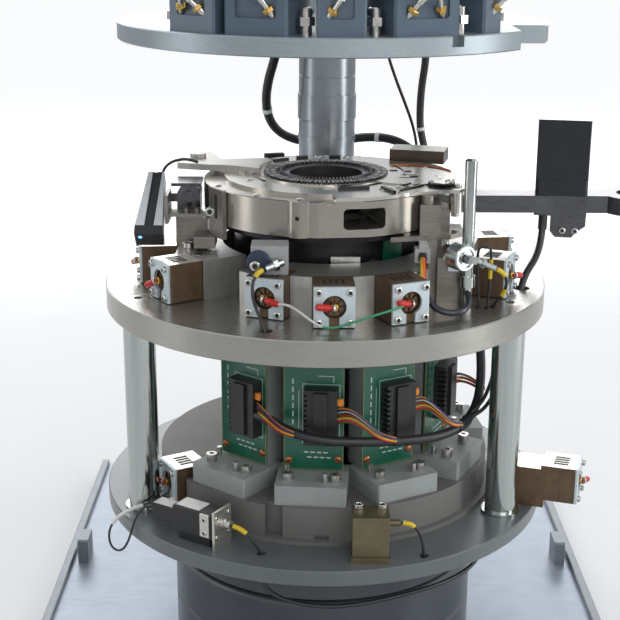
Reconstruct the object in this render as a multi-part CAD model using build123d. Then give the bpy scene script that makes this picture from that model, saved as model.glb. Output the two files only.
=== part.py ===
from build123d import *
import os
from math import cos, pi, radians, sin, tan

# Sock knitting machine head on its bed plate. Millimetres, +Z up, -Y is the front.
# The origin is on the knitting axis, at the underside of the bed plate.

# Clearances
run_gap = 0.05
seat_gap = 0.02
face_gap = 0.3
hole_gap = 0.4

# Bed plate
bed_w = 600.0
bed_front = 300.0
bed_back = 420.0
bed_t = 20.0
bed_bore_r = 40.0
bed_bolt_r = 5.5
bed_bolt_inset = 32.0
bed_edge = 1.0
trim_w = 9.0
trim_h = 6.0
stop_w = 12.0
stop_l = 32.0
stop_h = 28.0
stop_y = 145.0
stop_inset = 21.0

# Pedestal drum
ped_r = 154.0
ped_wall = 14.0
ped_h = 162.0
ped_shadow_z = 108.0
ped_shadow_h = 4.0
ped_shadow_d = 8.0
ped_groove_z = 55.0
ped_groove_d = 2.5
ped_round = 5.0

# Plates and pillars
low_r = 220.5
low_t = 15.0
up_r = 215.0
up_t = 24.0
plate_edge = 1.0
pillar_r = 15.0
pillar_pitch_r = 195.0
pillar_len = 187.0
pillar_angles = (-63.5, 61.0, 180.0)
collar_r = 18.5
collar_h = 3.0
pillar_screw_r = 6.0
pillar_screw_head_r = 12.5
pillar_screw_head_h = 6.0
pillar_screw_len = 42.0

# Needle cylinder and what turns with it
cyl_r = 47.0
cyl_bore_r = 35.5
spindle_r = 50.0
upper_journal_r = 48.5
cyl_above_plate = 102.0
cyl_foot_below = 46.0
collar_flange_r = 54.0
collar_flange_h = 5.0
needle_count = 84
slot_w = 1.2
slot_d = 4.2
needle_t = 0.9
needle_depth = 3.2
needle_slot_below = 88.0
jack_slot_from = 20.0
jack_slot_to = 14.0
needle_butt_h = 5.0
needle_butt_reach = 3.6
needle_butt_below = 28.0
needle_hook_h = 3.4
jack_fin_reach = 1.6
jack_fin_h = 3.0
sinker_r = 60.0
sinker_h = 10.0
sinker_slot_d = 3.0
sinker_slot_w = 1.6
sinker_proud = 2.0

# Bearings and drive
bearing_r = 60.0
gear_module = 2.0
pinion_teeth = 20
pinion_clear = 6.4
bull_teeth = 2 * round((ped_r - ped_wall - pinion_clear) / gear_module - pinion_teeth - 0.8)
gear_t = 18.0
pinion_t = 22.0
bull_below = 24.0
shaft_r = 8.0
shaft_clear_low = 3.0

# Cam base ring on the upper plate
base_ring_h = 37.0
base_ring_ri = 101.0
base_ring_flat = 146.0
base_ring_sides = 12
base_ring_turn = 2.0

# Cam carrier and knitting cams
carrier_r = 89.0
carrier_ri = 77.0
carrier_flange_r = 108.0
carrier_flange_h = 7.0
cams_ri = 49.8
cam_track_r = 52.6
cam_track_h = 11.0
cams_h = 58.0
carrier_block_w = 27.0
carrier_block_h = 17.0
carrier_block_d = 5.0
carrier_block_x = 17.5
carrier_block_z = 25.0

# Cam ring and its cover
cam_ring_r = 118.0
cam_ring_ri = 76.0
cam_ring_lift = 65.0
cam_ring_h = 33.0
boss_angle = -12.6
boss_r = 13.0
boss_reach = 4.0
boss_hole_r = 2.0
flat_angle = 6.9
flat_reach = 116.0
window_angle = 17.0
window_w = 39.0
window_h = 19.0
window_lift = 7.0
window_corner = 4.0
notch_w = 7.0
notch_h = 4.0
cover_r = 98.0
cover_t = 3.0
cap_r = 64.0
cap_t = 1.5
dial_r = 47.0
dial_t = 1.4
dial_x = 79.0
dial_y = -10.0
roller_r = 6.4
roller_x = 120.0
roller_y = -62.0
roller_h = 19.0
roller_foot_h = 4.0
roller_sink = 1.5
skirt_outline = [(4, -92), (14, -150), (112, -106), (160, 10), (70, 70), (30, 40)]
lobe_outline = [(60, -100), (84, -86), (103, -80), (122, -76), (127, -68), (131, -44), (131, -14), (127, 10),
                (120, 32), (110, 50), (96, 61), (76, 63), (56, 60)]
cover_screw_r = 3.4
cover_screw_places = ((-81, -2), (-72, -35), (-23, 84), (-7, 88), (21, 86), (-60, 66), (-84, 30))
dial_screw_r = 2.6
dial_screw_places = ((99, 26), (96, 4), (106, -15), (108, -30), (59, -72), (66, -68))
cover_slots = ((79, -12, 15, 4, 0), (77, -26, 15, 4, 0), (70, -60, 13, 4, 20), (57, -84, 25, 5, -42),
               (14, -74, 34, 4, 3), (78, -76, 36, 2, 35))
cover_slot_d = 2.0

# Arms behind the cover
left_arm_outline = [(-146, 20), (-146, 78), (-118, 86), (-104, 42), (-58, 50), (-48, 14), (-61, -8), (-94, 8),
                    (-118, 12)]
left_arm_t = 6.0
arm_button_r = 8.0
arm_button_x = -128.0
arm_button_y = 52.0
right_arm_turn = -14.0

# Selector units on the lower plate
casting_r = 166.0
casting_ri = 100.0
casting_h = 34.0
casting_foot_r = 172.0
casting_foot_h = 4.0
casting_slot_angle = -16.5
casting_slot_w = 17.0
casting_slot_h = 30.0
casting_slot_d = 9.0
selector_count = 6
selector_first = -39.0
selector_step = 34.0
foot_w = 66.0
foot_h = 19.0
foot_outer = 160.0
foot_inner = 106.0
holder_outer = 118.0
holder_inner = 50.5
holder_w = 52.0
holder_nose_w = 18.0
holder_h = 128.0
board_w = 56.0
board_t = 1.6
board_h = 124.0
board_off = 3.0
board_lift = 1.0
plug_w = 31.0
plug_h = 54.0
plug_d = 12.0
plug_shift = 7.0
plug_lift = 29.0
foot_screw_r = 3.0
foot_screw_head_r = 5.2
foot_screw_head_h = 7.0
foot_screw_into = 12.0
foot_screw_x = 22.0
foot_screw_y = 144.0
dowel_r = 2.5
dowel_h = 9.0

# Cam actuators: angle from the front, radius of the outer face, height of the foot
upper_actuators = ((-83.0, 182.0), (-58.0, 181.0), (-20.0, 162.0), (2.0, 179.0), (24.0, 180.0),
                   (68.0, 187.0), (98.0, 184.0))
# The same for the lower plate, with the length of the bracket behind the body
lower_actuators = ((-60.0, 176.0, 0.0), (72.0, 262.0, 26.0))
act_w = 36.0
act_h = 36.0
act_len = 33.0
act_plate_t = 3.0
act_lift = 1.0
act_low_lift = 8.0
disc_r = 10.5
disc_recess = 5.0
keyway_w = 9.0
plunger_r = 5.0
plunger_tip_r = 97.0
plunger_seat = 22.0
plunger_end_gap = 1.0
end_screw_r = 2.8
end_screw_inset = 4.5
end_screw_proud = 2.2
end_socket_r = 1.3

# Left-hand cam block and bracket
left_block_x0 = -cam_ring_r - 23.0
left_block_x1 = -72.0
left_block_y0 = -94.0
left_block_y1 = -30.0
left_block_h = 37.0
left_gap_angle = -31.5
cam_side_angle = upper_actuators[1][0]
slot_plate_angle = -57.0
slot_plate_w = 26.0
slot_plate_t = 4.0
slot_plate_h = 48.0
slot_plate_lift = 55.0
plate_slot_w = 5.0
bracket_reach = 33.0
bracket_lift = 69.0
bracket_t = 3.0

# Small motor and sensor amplifier
small_motor_r = 11.0
small_motor_x = -cam_ring_r - 13.0
small_motor_lift = 15.0
amp_x = -cam_ring_r - 46.0
amp_y = -42.0
amp_lift = 79.0
amp_tilt = 42.0
amp_len = 62.0
amp_h = 18.0
amp_cap = 10.0

# Right-hand bracket
post_x0 = 101.0
post_x1 = 125.0
post_y0 = -104.0
post_y1 = -72.0
post_h = 44.0
shelf_outline = [(58, -101), (114, -88), (127, -76), (127, -46), (96, -46)]
shelf_screw_places = ((72.6, -95), (119, -79))
back_post_w = 8.0
shelf_lift = 57.5
shelf_t = 4.5
shelf_screw_r = 3.6
shelf_screw_h = 2.5
knob_r = 5.5

# Air cylinder, guide rod
air_r = 12.0
air_len = 16.0
air_x = 122.6
air_y = -139.0
air_lift = 52.4
air_turn = 35.0
air_rod_r = 2.5
sensor_r = 2.7
sensor_len = 18.7
sensor_turn = 7.6
sensor_dip = 23.8
guide_r = 5.5
guide_x = 127.0
guide_y = -112.0
guide_h = 137.0
guide_collar = 2.3

# Motor arm and motor
arm_y0 = 0.0
arm_y1 = 30.0
arm_lift = 63.0
arm_t = 17.0
arm_eye_x = 306.0
arm_eye_r = 34.0
arm_hole_r = 19.0
motor_w = 50.5
motor_turn = -11.0
motor_x = 234.0
motor_y = 23.5
motor_h = 74.0
motor_cap_h = 16.0
clamp_t = 18.0
clamp_lift = 60.0
motor_shaft_r = 3.2

# Rear column and top head
column_x = 2.5
column_y = 172.0
column_r = 30.5
column_band_r = 31.6
column_foot_r = 42.0
column_foot_h = 8.0
column_top_above = 72.0
band_lift = 129.0
band_h = 27.0
head_lift_h = 229.6
head_r = 204.0
head_t = 16.4
head_x = 5.0
head_y = 24.4
head_cut_x = 167.0
head_cut_y = -38.0
hub_r = 46.0
hub_h = 44.0
feeder_angles = (-38.0, -19.5, 1.5, 22.6, 43.0)
feeder_widths = (52.0, 56.0, 40.0, 60.0, 24.0)
feeder_outer = 197.0
feeder_depth = 58.0
feeder_h = 64.0
elbow_angles = (-49.5, -7.7, 10.5, 35.6, 50.5)
elbow_r = 5.0

# Valve and sensor block
valve_x = -112.0
valve_y = -160.0
valve_turn = -32.0
valve_foot_h = 9.0
valve_half_w = 11.0
valve_h = 24.0
valve_plate_t = 2.5
gland_r = 4.0
gland_len = 9.5
block_x0 = 24.0
block_w = 33.0
block_y0 = -202.0
block_y1 = -175.0
block_h = 38.0
block_base_h = 5.0
block_gland_z = 33.0
block_screw_h = 3.5

# Levels
z_ped = bed_t
z_low = z_ped + ped_h
z_low_top = z_low + low_t
z_up = z_low_top + pillar_len
z_top = z_up + up_t
z_cyl_top = z_top + cyl_above_plate
z_cam = z_top + cam_ring_lift
z_cam_top = z_cam + cam_ring_h
z_cover_top = z_cam_top + cover_t
z_head = z_top + head_lift_h
z_head_top = z_head + head_t
z_casting = z_low_top + casting_h
z_foot = z_casting + foot_h

# Cords: bend points from one end to the other, then the radius
lead_r = 1.4
lead_hole_low_r = 4.5
lead_hole_high_r = 5.6
upper_leads = {
    "cylinder_sensor": [(150.14, -128.71, 448.87), (155.9, -127.95, 446.3), (160.4, -126.2, 440.2),
                        (161.7, -123.5, 432.3), (159.7, -119.8, 423.3), (154.7, -115.4, 414.8),
                        (150.2, -111.9, 405.8), (149, -111, 396.4)],
    "disc_sensor": [(-53.88, -153.87, 454.04), (-59.6, -156.2, 452.3), (-63.8, -159.6, 446),
                    (-65, -164.3, 437.5), (-63.5, -170.3, 429), (-59.5, -177, 421), (-55, -182.5, 412),
                    (-52.5, -185.5, 402), (-52, -186, 391)],
}
lower_leads = {
    "valve_lead": [(-84.69, -177.06, 220), (-78.7, -180.8, 220), (-72, -183.8, 216.8), (-66, -185.5, 211),
                   (-61, -186, 204), (-58, -186, 195.5), (-57.5, -186, 186)],
    "block_lead": [(67.2, -190, 230), (74, -190, 230), (80.5, -190, 226), (85.5, -190, 218),
                   (88.5, -189.5, 207), (89, -189, 195)],
}
amplifier_lead = [(amp_x + 7, -18.9, 507.8), (amp_x + 7.5, -12.6, 513.5), (-152.5, -5.5, 518.3),
                  (-145, 2, 521), (-134, 10.8, 520.6), (-126, 18, 516.3)]
harness_route = [(-64.1, -115.4, 303), (-53.2, -124.2, 303), (-43, -135, 300.5), (-30, -143.5, 297),
                 (-14, -148.5, 294), (4, -150, 291.5), (24, -149, 290.5), (44, -145, 289),
                 (62, -139, 287), (80, -131, 285), (97, -122, 283.5), (113, -111, 283),
                 (127.5, -98, 284.5), (139, -84, 289.5), (147, -71, 299), (151, -60, 313),
                 (152, -52, 331), (151, -46.5, 348), (150, -44, 365), (150, -44, z_up)]
harness_r = 4.5
motor_cable_route = [(214, 5, z_top + clamp_lift), (214, 5, 456.9), (212.8, 1.6, 445.8), (210.1, -4.9, 436.5),
                     (205.3, -13.8, 428.3), (198.9, -24.7, 423.1), (192.6, -36.3, 417.6),
                     (188.3, -44.4, 409.2), (185.8, -49.4, 398.2), (185.5, -51, 386)]
motor_cable_r = 3.4
motor_hole_r = 8.5
motor_hole_x = 187.0
motor_hole_y = -47.7
loop_route = [(87, -104, 453.5), (87, -113.4, 453.5), (86.3, -122, 450), (85.8, -128.8, 443),
              (86.2, -133, 434.2), (88.9, -137, 425.8), (93.8, -142.5, 418), (101.8, -147, 414.2),
              (111.7, -147.4, 412.8), (120.9, -143.2, 413.6), (127.2, -135, 416.9),
              (128.1, -125.3, 420.8), (127.6, -117.9, 422.5)]
loop_r = 2.9
under_route = [(-57, -186, z_low), (-57, -186, 171), (-52.5, -187.5, 161.5), (-43, -189.5, 155),
               (-29, -192, 151), (-11, -194, 148.5), (9.5, -194, 147.5), (37, -192, 150),
               (62, -188, 154), (84, -181, 156.5), (103, -170, 157), (121, -155, 156.5),
               (134, -141.5, 157), (143, -132, 160.5), (149, -125.5, 167), (151, -123, 175),
               (151, -123, z_low)]
under_r = 2.0
valve_wire_route = [(-157.96, -131.28, 216), (-165, -126.9, 216), (-173, -126, 211.5), (-178.5, -128.5, 203),
                    (-182, -130, 192), (-185.5, -129.5, 180.5), (-190.5, -127, 170.5), (-197, -123.5, 166),
                    (-203.5, -120, 168.5), (-206.5, -117.5, 177), (-205, -116, 187), (-199.5, -113.5, 195),
                    (-191.5, -111, 200.5), (-181.5, -108.5, 204), (-170.5, -106, 207),
                    (-160.2, -101.5, 210.5), (-149.9, -93.5, 214)]
valve_wire_r = 1.1
head_routes = {
    "head_bundle": (5.0, [(-50, 150, z_head), (-50, 150, 618), (-54.5, 158, 599), (-61, 170, 578),
                          (-64.5, 184, 554), (-61.5, 198, 531), (-50, 211, 514), (-30, 220, 504),
                          (-5, 225, 501), (22, 225.5, 504), (48, 221, 508.5), (72, 212, 509),
                          (92, 201, 503), (107, 190, 490), (116, 181, 471), (120.5, 173, 449),
                          (120.5, 171, 428), (120.5, 171, z_top)]),
    "head_cable": (4.0, [(106.5, 148, z_head), (106.5, 148, 618), (106.2, 150, 598), (103.5, 153.5, 576),
                         (102.4, 155.5, 553), (103, 156, 530), (107, 155, 513), (111.5, 153, 495),
                         (113.5, 151, 474), (114.5, 150, 452), (114.5, 150, z_top)]),
    "head_wire": (1.6, [(63, 157, z_head), (63, 157, 621), (67.5, 158, 604.3), (76.2, 160, 580),
                        (86.6, 162, 555), (96, 164, 531), (101, 166, 509), (103, 168, 485),
                        (103.5, 169, 460), (103.5, 169, z_top)]),
}


# Plain shapes

def block(x0, x1, y0, y1, z0, z1):
    return Pos((x0 + x1) / 2, (y0 + y1) / 2, (z0 + z1) / 2) * Box(x1 - x0, y1 - y0, z1 - z0)


def disc(r, z0, z1, x=0.0, y=0.0):
    return Pos(x, y, (z0 + z1) / 2) * Cylinder(r, z1 - z0)


def ring(ro, ri, z0, z1, x=0.0, y=0.0):
    return disc(ro, z0, z1, x, y) - disc(ri, z0 - 1, z1 + 1, x, y)


def bar_y(r, y0, y1, x, z):
    return Pos(x, (y0 + y1) / 2, z) * Rot(90, 0, 0) * Cylinder(r, y1 - y0)


def bar_x(r, x0, x1, y, z):
    return Pos((x0 + x1) / 2, y, z) * Rot(0, 90, 0) * Cylinder(r, x1 - x0)


def prism(points, z0, z1):
    return Pos(0, 0, z0) * extrude(Polygon(*points, align=None), z1 - z0, dir=(0, 0, 1))


def turned(shape, angle):
    return Rot(0, 0, angle) * shape


def turned_point(x, y, angle):
    a = radians(angle)
    return x * cos(a) - y * sin(a), x * sin(a) + y * cos(a)


def polar(r, angle):
    return r * sin(radians(angle)), -r * cos(radians(angle))


def group(shapes):
    solids = []
    for shape in shapes:
        solids.extend(shape.solids())
    return Compound(solids)


def round_bar(x0, x1, y0, y1, z0, z1, r):
    shape = block(x0, x1, y0, y1, z0, z1)
    return fillet(shape.edges().filter_by(Axis.Z), r)


# Base

def bed_bolt_places():
    x = bed_w / 2 - bed_bolt_inset
    y_front = -bed_front + bed_bolt_inset
    y_back = bed_back - bed_bolt_inset
    return [(-x, y_front), (x, y_front), (-x, y_back), (x, y_back)]


def pinion_x():
    return gear_module * (bull_teeth + pinion_teeth) / 2


def bed_plate():
    plate = block(-bed_w / 2, bed_w / 2, -bed_front, bed_back, 0, bed_t)
    plate = chamfer(plate.edges().filter_by(Axis.Z), bed_edge * 4)
    plate -= disc(bed_bore_r, -1, bed_t + 1)
    plate -= disc(shaft_r + run_gap, -1, bed_t + 1, pinion_x(), 0)
    for x, y in bed_bolt_places():
        plate -= disc(bed_bolt_r, -1, bed_t + 1, x, y)
    return plate


def bed_trims():
    rails = []
    for side in (-1, 1):
        x0 = side * (bed_w / 2 - trim_w)
        x1 = side * bed_w / 2
        y_in = bed_edge * 4
        rail = block(min(x0, x1), max(x0, x1), -bed_front + y_in, bed_back - y_in, bed_t, bed_t + trim_h)
        rails.append(chamfer(rail.edges().filter_by(Axis.Y).sort_by(Axis.Z)[-2:], bed_edge))
    return group(rails)


def bed_stops():
    stops = []
    for side in (-1, 1):
        x = side * (bed_w / 2 - stop_inset)
        stop = block(x - stop_w / 2, x + stop_w / 2, stop_y - stop_l / 2, stop_y + stop_l / 2,
                     bed_t, bed_t + stop_h)
        stops.append(chamfer(stop.edges().filter_by(Axis.X).sort_by(Axis.Z)[-2:], bed_edge * 2))
    return group(stops)


def pedestal():
    drum = disc(ped_r, z_ped, z_low)
    shadow_z = z_ped + ped_shadow_z
    drum -= ring(ped_r + 1, ped_r - ped_shadow_d, shadow_z, shadow_z + ped_shadow_h)
    edge = drum.edges().filter_by(GeomType.CIRCLE).filter_by(lambda e: abs(e.center().Z - shadow_z) < 0.01)
    drum = fillet(edge.sort_by(lambda e: e.radius)[-1], ped_round)
    groove_z = z_ped + ped_groove_z
    groove = Polygon((ped_r - ped_groove_d, groove_z), (ped_r + 1, groove_z - ped_groove_d - 1),
                     (ped_r + 1, groove_z + ped_groove_d + 1), align=None)
    drum -= revolve(Plane.XZ * groove, Axis.Z)
    return drum - disc(ped_r - ped_wall, z_ped - 1, z_low + 1)


def lead_holes(leads, r):
    return [(route[-1][0], route[-1][1], r) for route in leads.values()]


def lower_plate():
    plate = disc(low_r, z_low, z_low_top)
    rims = plate.edges().filter_by(GeomType.CIRCLE).filter_by(lambda e: e.radius > low_r - 1)
    plate = chamfer(rims, plate_edge)
    plate -= disc(bearing_r + seat_gap, z_low - 1, z_low_top + 1)
    plate -= disc(shaft_r + run_gap, z_low - 1, z_low_top + 1, pinion_x(), 0)
    for x, y, r in lead_holes(lower_leads, lead_hole_low_r):
        plate -= disc(r, z_low - 1, z_low_top + 1, x, y)
    return plate


def pillars():
    posts = []
    for angle in pillar_angles:
        x, y = polar(pillar_pitch_r, angle)
        post = disc(pillar_r, z_low_top, z_up, x, y)
        post += disc(collar_r, z_low_top, z_low_top + collar_h, x, y)
        post -= disc(pillar_screw_r + seat_gap, z_top - pillar_screw_len - 1, z_up + 1, x, y)
        posts.append(post)
    return group(posts)


def countersink(extra, x, y):
    top_r = pillar_screw_head_r + extra
    low = z_top - pillar_screw_head_h
    cone = Cone(pillar_screw_r + extra, top_r, pillar_screw_head_h)
    return Pos(x, y, low + pillar_screw_head_h / 2) * cone


def upper_plate():
    plate = disc(up_r, z_up, z_top)
    rims = plate.edges().filter_by(GeomType.CIRCLE).filter_by(lambda e: e.radius > up_r - 1)
    plate = chamfer(rims, plate_edge)
    plate -= disc(bearing_r + seat_gap, z_up - 1, z_top + 1)
    for angle in pillar_angles:
        x, y = polar(pillar_pitch_r, angle)
        if abs(y - column_y) > column_r:
            plate -= disc(pillar_screw_r + seat_gap, z_up - 1, z_top + 1, x, y)
            plate -= countersink(seat_gap, x, y)
    holes = lead_holes(upper_leads, lead_hole_high_r)
    holes.append((motor_hole_x, motor_hole_y, motor_hole_r))
    for x, y, r in holes:
        plate -= disc(r, z_up - 1, z_top + 1, x, y)
    return plate


# Turning group

def slots(count, r0, r1, z0, z1, width):
    cut = block(-width / 2, width / 2, -r1, -r0, z0, z1)
    return [turned(cut, 360.0 * i / count) for i in range(count)]


def needle_slot_range():
    return z_cyl_top - needle_slot_below, z_cyl_top


def jack_slot_range():
    return z_low_top + jack_slot_from, z_up - jack_slot_to


def needle_cylinder():
    foot = z_low - cyl_foot_below
    body = disc(cyl_r, foot, z_cyl_top)
    body += disc(spindle_r, foot, z_low_top + run_gap)
    body += disc(collar_flange_r, z_low_top + run_gap, z_low_top + run_gap + collar_flange_h)
    body += disc(upper_journal_r, z_up, z_top)
    body -= disc(cyl_bore_r, foot - 1, z_cyl_top + 1)
    z0, z1 = needle_slot_range()
    body -= slots(needle_count, cyl_r - slot_d, cyl_r + 1, z0, z1 + 1, slot_w)
    z0, z1 = jack_slot_range()
    body -= slots(needle_count, cyl_r - slot_d, cyl_r + 1, z0, z1, slot_w)
    return body


def blade(points):
    face = Plane.YZ * Polygon(*[(-r, z) for r, z in points], align=None)
    return Pos(-needle_t / 2, 0, 0) * extrude(face, needle_t, dir=(1, 0, 0))


def needles():
    z0 = needle_slot_range()[0] + seat_gap
    r0 = cyl_r - slot_d + seat_gap
    r1 = r0 + needle_depth
    butt = z_cyl_top - needle_butt_below
    reach = cyl_r + needle_butt_reach
    top = z_cyl_top + needle_hook_h
    outline = [(r0, z0), (r1, z0), (r1, butt), (reach, butt), (reach, butt + needle_butt_h),
               (r1, butt + needle_butt_h), (r1, z_cyl_top - 6), (r0 + 1.2, z_cyl_top - 3),
               (r0 + 1.2, top - 1), (r0 + 2.6, top - 1), (r0 + 2.2, top), (r0, top)]
    one = blade(outline)
    return group([turned(one, 360.0 * i / needle_count) for i in range(needle_count)])


def selector_jacks():
    z0, z1 = jack_slot_range()
    z0 += seat_gap
    z1 -= seat_gap
    r0 = cyl_r - slot_d + seat_gap
    r1 = r0 + needle_depth
    reach = cyl_r + jack_fin_reach
    mid = (z0 + z1) / 2
    outline = [(r0, z0), (r1, z0), (r1, mid), (reach, mid), (reach, mid + jack_fin_h),
               (r1, mid + jack_fin_h), (r1, z1), (r0, z1)]
    one = blade(outline)
    return group([turned(one, 360.0 * i / needle_count) for i in range(needle_count)])


def sinker_ring():
    top = z_cyl_top + sinker_proud
    body = ring(sinker_r, cyl_r + seat_gap, top - sinker_h, top)
    return body - slots(needle_count, cyl_r - 1, sinker_r + 1, top - sinker_slot_d, top + 1, sinker_slot_w)


def spindle_bearings():
    lower = ring(bearing_r, spindle_r + run_gap, z_low, z_low_top)
    upper = ring(bearing_r, upper_journal_r + run_gap, z_up, z_top)
    return group([lower, upper])


def gear(teeth, z0, z1, phase):
    pitch_r = gear_module * teeth / 2
    root = pitch_r - 1.2 * gear_module
    tip = pitch_r + 0.8 * gear_module
    points = []
    for i in range(teeth):
        centre = 360.0 * (i + phase) / teeth
        for r, share in ((root, -0.33), (tip, -0.13), (tip, 0.13), (root, 0.33)):
            points.append(polar(r, centre + share * 360.0 / teeth))
    return prism(points, z0, z1)


def gear_level():
    return z_low - bull_below


def bull_gear():
    z1 = gear_level()
    z0 = z1 - gear_t
    wheel = gear(bull_teeth, z0, z1, bull_teeth / 4)
    wheel -= disc(spindle_r + seat_gap, z0 - 1, z1 + 1)
    return wheel


def drive_pinion():
    z1 = gear_level() + (pinion_t - gear_t) / 2
    z0 = z1 - pinion_t
    wheel = gear(pinion_teeth, z0, z1, 0.5 - pinion_teeth / 4)
    shaft = disc(shaft_r, shaft_clear_low, z_low_top - shaft_clear_low)
    return Pos(pinion_x(), 0, 0) * (wheel + shaft)


# Selector zone

def lower_reliefs():
    zones = []
    for angle, outer, extra in lower_actuators:
        inner = -outer + act_plate_t + act_len + extra
        zone = block(-act_w / 2 - 2, act_w / 2 + 2, -outer - 5, inner + 2, z_low_top - 1, z_foot)
        zones.append(turned(zone, angle))
    return zones


def selector_casting():
    body = disc(casting_r, z_low_top, z_casting)
    body += disc(casting_foot_r, z_low_top, z_low_top + casting_foot_h)
    body -= disc(casting_ri, z_low_top - 1, z_casting + 1)
    slot = block(-casting_slot_w / 2, casting_slot_w / 2, -casting_foot_r - 1, -casting_r + casting_slot_d,
                 z_casting - casting_slot_h, z_casting + 1)
    body -= turned(slot, casting_slot_angle)
    notch = block(-6.5, 6.5, -casting_foot_r - 1, -casting_r + 4, z_low_top + casting_foot_h, z_low_top + 8)
    body -= turned(notch, -1)
    for zone in lower_reliefs():
        body -= zone
    for i in range(selector_count):
        for x, y in foot_screw_places():
            hole = disc(foot_screw_r + seat_gap, z_casting - foot_screw_into, z_casting + 1, x, y)
            body -= turned(hole, selector_first + i * selector_step)
    return body


def foot_screw_places():
    return [(-foot_screw_x, -foot_screw_y), (foot_screw_x, -foot_screw_y)]


def dowel_places():
    return [(-foot_screw_x - 2, -foot_screw_y + 13), (foot_screw_x - 9, -foot_screw_y - 4)]


def selector_holder():
    foot = round_bar(-foot_w / 2, foot_w / 2, -foot_outer, -foot_inner, z_casting, z_foot, 2.0)
    top = z_foot + holder_h
    plan = [(-holder_w / 2, -holder_outer), (holder_w / 2, -holder_outer),
            (holder_w / 2, -holder_outer + 24),
            (holder_nose_w / 2, -holder_inner - 8), (holder_nose_w / 2, -holder_inner),
            (-holder_nose_w / 2, -holder_inner), (-holder_nose_w / 2, -holder_inner - 8),
            (-holder_w / 2, -holder_outer + 24)]
    body = foot + prism(plan, z_foot - 2, top)
    for x in (-board_w / 2 + 7, board_w / 2 - 7):
        for z in (z_foot + board_lift + 10, z_foot + board_lift + board_h - 10):
            body += bar_y(3.5, -holder_outer - board_off, -holder_outer + 1, x, z)
    for x, y in foot_screw_places():
        body -= disc(foot_screw_r + seat_gap, z_casting - 1, z_foot + 1, x, y)
    return body


def selector_board():
    y1 = -holder_outer - board_off
    z0 = z_foot + board_lift
    return block(-board_w / 2, board_w / 2, y1 - board_t, y1, z0, z0 + board_h)


def board_plug():
    y1 = -holder_outer - board_off - board_t
    z0 = z_foot + board_lift + plug_lift
    x0 = plug_shift - plug_w / 2
    shell = block(x0, x0 + plug_w, y1 - plug_d, y1, z0, z0 + plug_h)
    key = block(x0 + 9, x0 + plug_w - 9, y1 - plug_d - 3, y1 - plug_d, z0 + 2, z0 + plug_h - 2)
    for i in range(10):
        z = z0 + 5 + i * (plug_h - 10) / 9
        shell -= block(x0 - 1, x0 + 3, y1 - plug_d - 1, y1 - 4, z - 1, z + 1)
    return shell + key


def around_selectors(shape):
    return [turned(shape, selector_first + i * selector_step) for i in range(selector_count)]


# Cam actuators

def actuator_places():
    upper = [(angle, outer, z_top, act_lift, 0.0) for angle, outer in upper_actuators]
    lower = [(angle, outer, z_low_top, act_low_lift, extra) for angle, outer, extra in lower_actuators]
    return upper + lower


def actuator_body(outer, z_base, lift, extra):
    y0 = -outer + act_plate_t
    y1 = y0 + act_len
    z0 = z_base + lift
    zc = z0 + act_h / 2
    body = round_bar(-act_w / 2, act_w / 2, y0, y1, z0, z0 + act_h, 1.0)
    body -= bar_y(disc_r, y0 - 1, y0 + disc_recess, 0, zc)
    body += bar_y(disc_r - 2, y0 + 1, y0 + disc_recess + 1, 0, zc)
    for i in range(4):
        rib = block(-0.8, 0.8, -disc_r, disc_r, -2.5, 2.5)
        body -= Pos(0, y0 + 1, zc) * Rot(90, 0, 0) * Rot(0, 0, 45 * i) * rib
    if extra:
        body += block(-act_w / 2, act_w / 2, y1 - 1, y1 + extra, z_base, z0 + act_h - 4)
        body += block(-act_w / 2, act_w / 2, y1 - 4, y1 + 1, z_base, z0 + 2)
    else:
        body += block(-act_w / 2 + 4, act_w / 2 - 4, y0 + 3, y1 - 2, z_base, z0 + 1)
    return body


def actuator_bodies():
    bodies = []
    for angle, outer, z_base, lift, extra in actuator_places():
        body = actuator_body(outer, z_base, lift, extra)
        if z_base == z_top:
            y_seat = -outer + act_plate_t + act_len - plunger_seat
            body -= bar_y(plunger_r + run_gap, y_seat, -outer + 60, 0, z_base + lift + act_h / 2)
        bodies.append(turned(body, angle))
    return group(bodies)


def actuator_end_plates():
    plates = []
    for angle, outer, z_base, lift, extra in actuator_places():
        z0 = z_base + lift
        zc = z0 + act_h / 2
        plate = round_bar(-act_w / 2, act_w / 2, -outer, -outer + act_plate_t, z0, z0 + act_h, 0.8)
        plate -= bar_y(disc_r, -outer - 1, -outer + act_plate_t + 1, 0, zc)
        plate -= block(-keyway_w / 2, keyway_w / 2, -outer - 1, -outer + act_plate_t + 1, z0 - 1, zc)
        for x in (-act_w / 2 + end_screw_inset, act_w / 2 - end_screw_inset):
            for z in (z0 + end_screw_inset, z0 + act_h - end_screw_inset):
                plate += bar_y(end_screw_r, -outer - end_screw_proud, -outer + 0.5, x, z)
                plate -= bar_y(end_socket_r, -outer - end_screw_proud - 1, -outer - 0.6, x, z)
        plates.append(turned(plate, angle))
    return group(plates)


def plunger(index):
    angle, outer = upper_actuators[index]
    y_out = -outer + act_plate_t + act_len - plunger_seat + plunger_end_gap
    pin = bar_y(plunger_r, y_out, -plunger_tip_r, 0, z_top + act_lift + act_h / 2)
    return turned(pin, angle)


def actuator_zone(angle, outer, gap):
    zone = block(-act_w / 2 - gap, act_w / 2 + gap, -outer - 20, -outer + act_plate_t + act_len + gap,
                 z_top - 1, z_top + act_h + 6)
    return turned(zone, angle)


def plunger_bore(angle):
    zc = z_top + act_lift + act_h / 2
    return turned(bar_y(plunger_r + run_gap, -170, -60, 0, zc), angle)


# Cam group on the upper plate

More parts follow.
